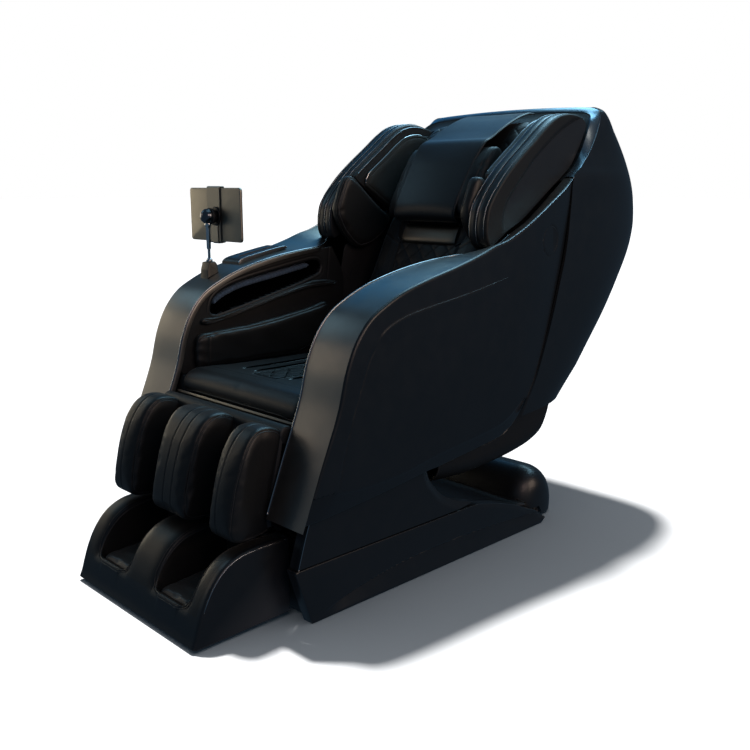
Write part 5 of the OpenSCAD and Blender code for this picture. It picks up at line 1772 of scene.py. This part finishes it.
def tablet():
    c = (-340, 901)
    w, h = 121, 73

    def rounded(w, h, r, k=8):
        P = []
        for cx, cy, a0 in ((w - r, h - r, 0), (-w + r, h - r, 90), (-w + r, -h + r, 180), (w - r, -h + r, 270)):
            for i in range(k + 1):
                a = math.radians(a0 + 90 * i / k)
                P.append((c[0] + cx + r * math.cos(a), c[1] + cy + r * math.sin(a)))
        return P
    ob = slab("tablet_body", rounded(w, h, 8), -269.9, -261, 2.4, M_TABLET, "screen", "champagne", n=160, k=5, axes="yxz", rounds=0)
    replace(ob, "tablet")
    # screen glass faces the sitter, a hair proud of the body
    slab("tablet_glass", rounded(w - 4, h - 4, 6), -261.6, -260.6, 0.4, M_GLASS, "screen", "matte_plastic", n=120, k=3, axes="yxz", rounds=0)

    def folded(name, x0, x1, y, e, mat, lower=None):
        """A strip down the back of the tablet, hooked over its edges."""
        t = c[1] + h
        bt = c[1] - h
        up = [(-256.5, t - 7), (-256.3, t + 2.2), (-259, t + e), (y + 2, t + e), (y, t + e - 3)]
        dn = [(y, bt - e + 3), (y + 2, bt - e), (-259, bt - e), (-256.3, bt - 2.2), (-256.5, bt + 7)]
        path = np.vstack([up, [(y, c[1])], dn]) if lower is None else np.vstack([[(y, lower), (y, c[1] - 20)], dn])
        path = rs(path, 120)
        T = np.gradient(path, axis=0); T /= np.linalg.norm(T, axis=1)[:, None]
        N = np.c_[-T[:, 1], T[:, 0]]
        rows = []
        for x, o in ((x0 + 1, -1.2), (x0, -0.6), (x0, 0.6), (x0 + 1, 1.2), (x1 - 1, 1.2), (x1, 0.6), (x1, -0.6), (x1 - 1, -1.2)):
            rows.append(np.c_[np.full(len(path), x), path + N * o])
        G = np.array(rows)
        m, n = G.shape[:2]
        F = grid_faces(m, n, True, False) + [tuple(i * n for i in range(m)), tuple(i * n + n - 1 for i in range(m))]
        return make(name, G.reshape(-1, 3), F, mat, "screen", 12, 0.002)
    folded("tablet_bracket", -372, -311, -271.6, 3.2, M_TABLET)
    folded("tablet_bracket_strip", -346, -320, -274.2, 4.8, M_CHAMP2, c[1] - 4)
    slab("tablet_bracket_slot", [(-309.8, c[1] - h + 1), (-306, c[1] - h + 1), (-306, c[1] + h - 1), (-309.8, c[1] + h - 1)], -270.6, -269.2, 0.3, M_DARK, "screen", "matte_plastic", n=40, k=3, axes="yxz", rounds=0)
    # clamp plate and the socket ring that holds the ball
    slab("tablet_clamp", [(-330 + 24 * math.cos(t), 897 + 26 * math.sin(t)) for t in np.linspace(0, 2 * math.pi, 48, endpoint=False)], -278.5, -273.5, 1.6, M_SOCKET, "screen", "matte_plastic", n=72, axes="yxz", rounds=0)
    lathe("tablet_socket", [(0.0, 21.9), (0.5, 22.8), (1.8, 23.2), (6.0, 22.4), (12.0, 19.5), (16.0, 17.0), (18.0, 15.0)], (-330, -296.5, 897), (0, 1, 0), M_DARK, "screen", 48, 50)
    # camera eye above the glass
    lathe("tablet_lens", [(0, 3.4), (0.5, 3.4), (0.8, 3.0), (0.8, 0.2)], (c[0], -260.8, c[1] + h - 7), (0, 1, 0), M_GLASS, "screen", 32, 50)


tablet()
st = lathe("stem_rod", [(0, 3.9), (62, 3.9), (63, 4.2), (64, 5.8), (66, 6.2), (120, 6.2), (122, 6.6), (125, 8.0), (128, 8.8), (131, 9.0), (134, 8.4), (135, 6.0)], (-330, -300, 744.5), (0, 0, 1), M_CHROME, "stem", 48, 50)
replace(st, "tablet_stem")
a = np.linspace(math.radians(-66), math.radians(90), 26)
ball = lathe("stem_ball", [(21 * math.sin(t), max(0.15, 21 * math.cos(t))) for t in a], (-330, -300, 897), (0, 0, 1), M_BALL, "stem", 64, 60)
replace(ball, "tablet_stem")
lathe("stem_collar", [(0, 8.6), (1.0, 9.2), (3.6, 9.2), (4.6, 8.6), (5.0, 6.8), (8.0, 5.4), (9.0, 4.2)], (-330, -300, 774.6), (0, 0, 1), M_CHROME, "stem", 48, 40)
ho = slab("stem_holder", [(-319, 727.7), (-318, 752), (-312, 772), (-292, 774), (-286, 766), (-282, 743), (-300, 736)], -348, -312, 2.2, M_HOLD, "capsule", "champagne", n=120, k=5, rounds=0)
replace(ho, "tablet_holder")


def pocket():
    """Pocket on the far arm: a raised rim round a long slot."""
    top = sp([(-221, 768), (-212, 775.5), (-165, 787), (-120, 795.5), (-80, 802.5), (-56, 805.4), (-48, 803)], 60)
    low = np.c_[top[:, 0], np.interp(top[:, 0], [-222, -180, -95, -46], [761.2, 771.5, 789.3, 800.3])]
    rows = []
    for x, k in ((-384, 0.0), (-384, 0.6), (-383, 0.92), (-380, 1.0), (-352, 1.0), (-350, 0.95), (-348.6, 0.5), (-348.4, 0.0),
                 (-336.6, 0.0), (-336.4, 0.5), (-335, 0.95), (-333, 1.0), (-306, 1.0), (-302, 0.9), (-300.6, 0.5), (-300.4, 0.0)):
        z = low[:, 1] * (1 - k) + top[:, 1] * k
        if -349 < x < -336:
            inn = (top[:, 0] > -190) & (top[:, 0] < -80)
            z = np.where(inn, z, top[:, 1] * 0.98 + low[:, 1] * 0.02 if k < 1 else z)
        rows.append(np.c_[np.full(60, x), top[:, 0], z])
    G = np.array(rows)
    m, n = G.shape[:2]
    F = grid_faces(m, n) + [tuple(i * n for i in range(m)), tuple(i * n + n - 1 for i in range(m))]
    ob = make("phone_tray", G.reshape(-1, 3), F, M_SHELL, "capsule", 40, 0.002)
    replace(ob, "phone_pocket")
    # bright trim tube along the tray's outer edge: a painted highlight line
    V, F = tube_mesh(np.c_[np.full(60, -302.5), top + [0, 0.2]], 1.4, 8)
    make("phone_tray_bead", V, F, M_TRIM_HIGHLIGHT, "capsule", None)


pocket()

# ------------------------------------------------------------------ base covers
def skirt(side):
    tag = "left" if side > 0 else "right"
    B = np.array([(-502, 0.4), (385, 0.4)], float)
    T = sp([(-546, 139.5), (-412, 139.5), (-140, 138.5), (60, 138), (89, 137), (130, 128), (183, 115), (277, 82), (311, 64), (355, 49), (390, 30), (407, 14)], 160)
    T = np.vstack([[(-547, 139)], sp([(-530, 139.5), (-412, 139.6), (-140, 138.8), (60, 138), (89, 137)], 80), sp([(92, 136), (130, 127), (183, 114.5), (277, 82), (311, 64.5), (355, 48.5), (390, 27), (406, 14)], 80)])
    L = np.array([(-502, 0.4), (-547, 133), (-547, 139)], float)
    R = np.array([(385, 0.4), (400, 8), (406, 14)], float)
    G1 = sp([(-500, 8), (-456, 21), (-364, 41), (-184, 61), (67, 61), (332, 43), (400, 36)], 120)
    G2 = sp([(-500, 3), (-316, 7), (-50, 4), (197, 5), (377, 11), (400, 12)], 120)

    def f(Y, Z, d):
        x = 333.0 - 1.5 * np.clip((Z - 90) / 50, 0, 1) ** 2
        up = np.interp(Y, G1[:, 0], G1[:, 1])
        lo = np.interp(Y, G2[:, 0], G2[:, 1])
        t = (Z - up)
        x = x - 9.0 * sstep(-t, 0.0, 1.6) * (1 - sstep(lo - Z, -4, 6)) * sstep(Y, -470, -400) * np.clip((Z - lo) / (up - lo + 1), 0.0, 1)
        x = x - 2.0 * np.exp(-((t - 1.5) / 1.4) ** 2) * sstep(Y, -460, -380)
        # lit bevel along the sloping rear edge
        ds, _ = sdf(Y, Z, [(92, 137), (183, 115), (277, 82), (311, 64), (355, 49), (390, 27)])
        x = x - 2.2 * (1 - sstep(ds, 0, 14)) * sstep(Y, 80, 130)
        return x
    ob = plate("skirt_" + tag + "_cover", B, T, L, R, f, 301, M_SHELL, "base", side, 240, 80, 3.0)
    replace(ob, "skirt_" + tag)


skirt(1)
skirt(-1)


def neck_cover(side):
    tag = "left" if side > 0 else "right"
    B = np.array([(-541, 142), (83, 142)], float)
    R = sp([(83, 142), (60, 150), (20, 162), (-20, 178), (-55, 199), (-82, 226), (-101, 250), (-112, 280), (-120, 322)], 90)
    T = sp([(-500, 264), (-494, 282), (-452, 292), (-300, 305), (-120, 322)], 90)
    L = sp([(-541, 142), (-518, 214), (-500, 264)], 40)

    def f(Y, Z, d):
        ds, _ = sdf(Y, Z, R)
        return 332.4 - 9.0 * (1 - sstep(ds, 0, 26)) ** 1.3
    ob = plate("neck_" + tag + "_cover", B, T, L, R, f, 301, M_SHELL, "carriage", side, 160, 80, 2.5)
    replace(ob, "neck_cover_" + tag)
    # bright trim tube along the cover's front edge: a painted highlight line
    E = np.c_[np.full(40, 331.6 * side), L + [1.2, 0]]
    V, F = tube_mesh(E, 0.9, 8)
    make("neck_%s_edge" % tag, V, F, M_TRIM_HIGHLIGHT, "carriage", None)


neck_cover(1)
neck_cover(-1)


def pod():
    xs = np.unique(np.r_[np.linspace(-299, -219, 30), np.linspace(-219, -46, 20), np.linspace(-46, 46, 12), np.linspace(46, 219, 20), np.linspace(219, 299, 30)])
    zz = [8.5, 14, 22, 30, 40, 52, 62, 72, 82]
    ang_r = [math.asin((z - 35) / 115) for z in zz]
    a = np.unique(np.r_[ang_r, np.linspace(ang_r[-1], math.pi - 0.02, 70)])
    keep_t = [i for i, t in enumerate(a)]
    G = []
    for x in xs:
        q = max(0.0, (abs(x) - 214) / 85)
        e = (1 - min(1, q) ** 2.3) ** (1 / 2.3) if q < 1 else 0.0
        col = []
        for t in a:
            ey = 95 * (0.10 + 0.90 * e)
            ez = 115 * (0.26 + 0.74 * e)
            col.append((x, 430 + ey * math.cos(t), 35 + ez * math.sin(t) if t > 0 else 35 + 115 * math.sin(t)))
        G.append(col)
    G = np.array(G)
    nu_, nv_ = G.shape[:2]
    i0, i1 = int(np.argmin(np.abs(xs + 46))), int(np.argmin(np.abs(xs - 46)))
    j0, j1 = int(np.argmin(np.abs(a - ang_r[2]))), int(np.argmin(np.abs(a - ang_r[8])))
    F = []
    for i in range(nu_ - 1):
        for j in range(nv_ - 1):
            if i0 <= i < i1 and j0 <= j < j1:
                continue
            F.append((i * nv_ + j, i * nv_ + j + 1, (i + 1) * nv_ + j + 1, (i + 1) * nv_ + j))
    V = [G.reshape(-1, 3)]
    off = nu_ * nv_
    # pocket for the inlet plate
    lp = [i * nv_ + j0 for i in range(i0, i1)] + [i1 * nv_ + j for j in range(j0, j1)] + [i * nv_ + j1 for i in range(i1, i0, -1)] + [i0 * nv_ + j for j in range(j1, j0, -1)]
    Q = V[0][lp].copy(); Q[:, 1] = 505.0
    V.append(Q)
    cur = list(range(off, off + len(lp)))
    F += [(lp[k], lp[(k + 1) % len(lp)], cur[(k + 1) % len(lp)], cur[k]) for k in range(len(lp))]
    off += len(lp)
    # ends and front closed to the ground plane of the cover
    for i in (0, nu_ - 1):
        F.append(tuple(i * nv_ + j for j in range(nv_)))
    ob = make("rear_bolster_cover", np.vstack(V), F, M_SHELL, "base", 50, 0.01)
    replace(ob, "rear_cover")
    # sloping deck in front, with a curved rear edge and a black joint
    top = sp([(112, 92), (150, 89), (186, 83), (235, 76.5), (280, 71), (320, 66.5), (349, 62.5)], 60)
    rows = []
    for x in np.linspace(-298, 298, 61):
        bow = 26 * (1 - (abs(x) / 298) ** 2)
        q = top.copy()
        k = np.clip((q[:, 0] - 112) / 237, 0, 1)
        crown = 5 * (1 - (abs(x) / 298) ** 2.5) * k
        rows.append(np.c_[np.full(60, x), q[:, 0] + bow * k * 0.4, q[:, 1] + crown])
    G = np.array(rows)
    Bk = G.copy(); Bk[..., 2] -= 5
    V = np.vstack([G.reshape(-1, 3), Bk.reshape(-1, 3)])
    o = 61 * 60
    lp = [i * 60 for i in range(61)] + [60 * 60 + j for j in range(1, 60)] + [i * 60 + 59 for i in range(59, -1, -1)] + [j for j in range(58, 0, -1)]
    F = grid_faces(61, 60) + grid_faces(61, 60, base=o, flip=True) + [(lp[i], lp[(i + 1) % len(lp)], lp[(i + 1) % len(lp)] + o, lp[i] + o) for i in range(len(lp))]
    dk = make("rear_deck", V, F, M_SHELL, "base", 50, 0.01)
    replace(dk, "rear_cover")
    E = G[:, -1] + [0, 2.5, 0.5]
    V, F = tube_mesh(sp(E, 120), 2.6, 8)
    make("rear_deck_joint", V, F, M_RUBBER, "base", None)


pod()


def fairing():
    C = sp([(-30, 206), (30, 201), (111, 198), (231, 204), (330, 214.5), (404, 230), (450, 251.5), (474, 287), (486, 320), (494, 345), (502, 368), (509, 392), (511, 402)], 130)
    Tt = sp([(-30, 330), (40, 392), (110, 394), (210, 398), (330, 405), (440, 414), (500, 424), (512, 428), (514, 430)], 130)
    L = np.r_[0, np.cumsum(np.linalg.norm(np.diff(C, axis=0), axis=1))]; L /= L[-1]
    Tt = np.stack([np.interp(L ** 1.15, np.linspace(0, 1, 130), Tt[:, k]) for k in (0, 1)], 1)
    rows = []
    for p, t in zip(C, Tt):
        d = t - p
        h = np.linalg.norm(d)
        d = d / max(h, 1e-6)
        r = min(58.0, h * 0.8)
        half = [(292, *t)]
        for k in np.linspace(0, 1, 8)[1:]:
            half.append((292, *(t * (1 - k) + (p + d * r) * k)))
        for th in np.linspace(0, math.pi / 2, 14)[1:]:
            half.append((292 - r * (1 - math.cos(th)), *(p + d * r * (1 - math.sin(th)))))
        for x in np.linspace(292 - r, 0, 12)[1:]:
            half.append((x, *p))
        half = np.array(half)
        rows.append(np.vstack([half, mir(half[::-1])[1:]]))
    G = np.array(rows)
    ob = grid("pivot_tub", G, M_DARK, "capsule", sharp=50)
    m = ob.modifiers.new("t", "SOLIDIFY"); m.thickness = 0.004; m.offset = -1
    apply_mods(ob)
    replace(ob, "lower_fairing")


fairing()

# ------------------------------------------------------------------ finishes for the remaining CAD parts, and light linking
hidden = ["base_frame", "carriage_frame", "seat_frame", "backrest_frame", "calf_frame", "slide_actuator", "tilt_actuator", "leg_actuator"]
paint(hidden, M_FRAME)
paint(["wheel_axles", "slide_rod", "tilt_rod", "leg_rod", "foot_rods"], M_STEEL)
paint(["slide_rails", "massage_rails"], M_ALU)
paint(["wheel_left", "wheel_right", "kneader_left", "kneader_right"], M_RUBBER)
paint(["base_pan", "base_front_cover", "power_module", "air_pump", "massage_carriage", "calf_tray"], M_DARK)
paint(["power_inlet", "power_rocker"], M_SOCKET)

for o in list(bpy.data.objects):
    if o.type in ("MESH", "CURVE") and o.name != "floor":
        only_chair.objects.link(o)
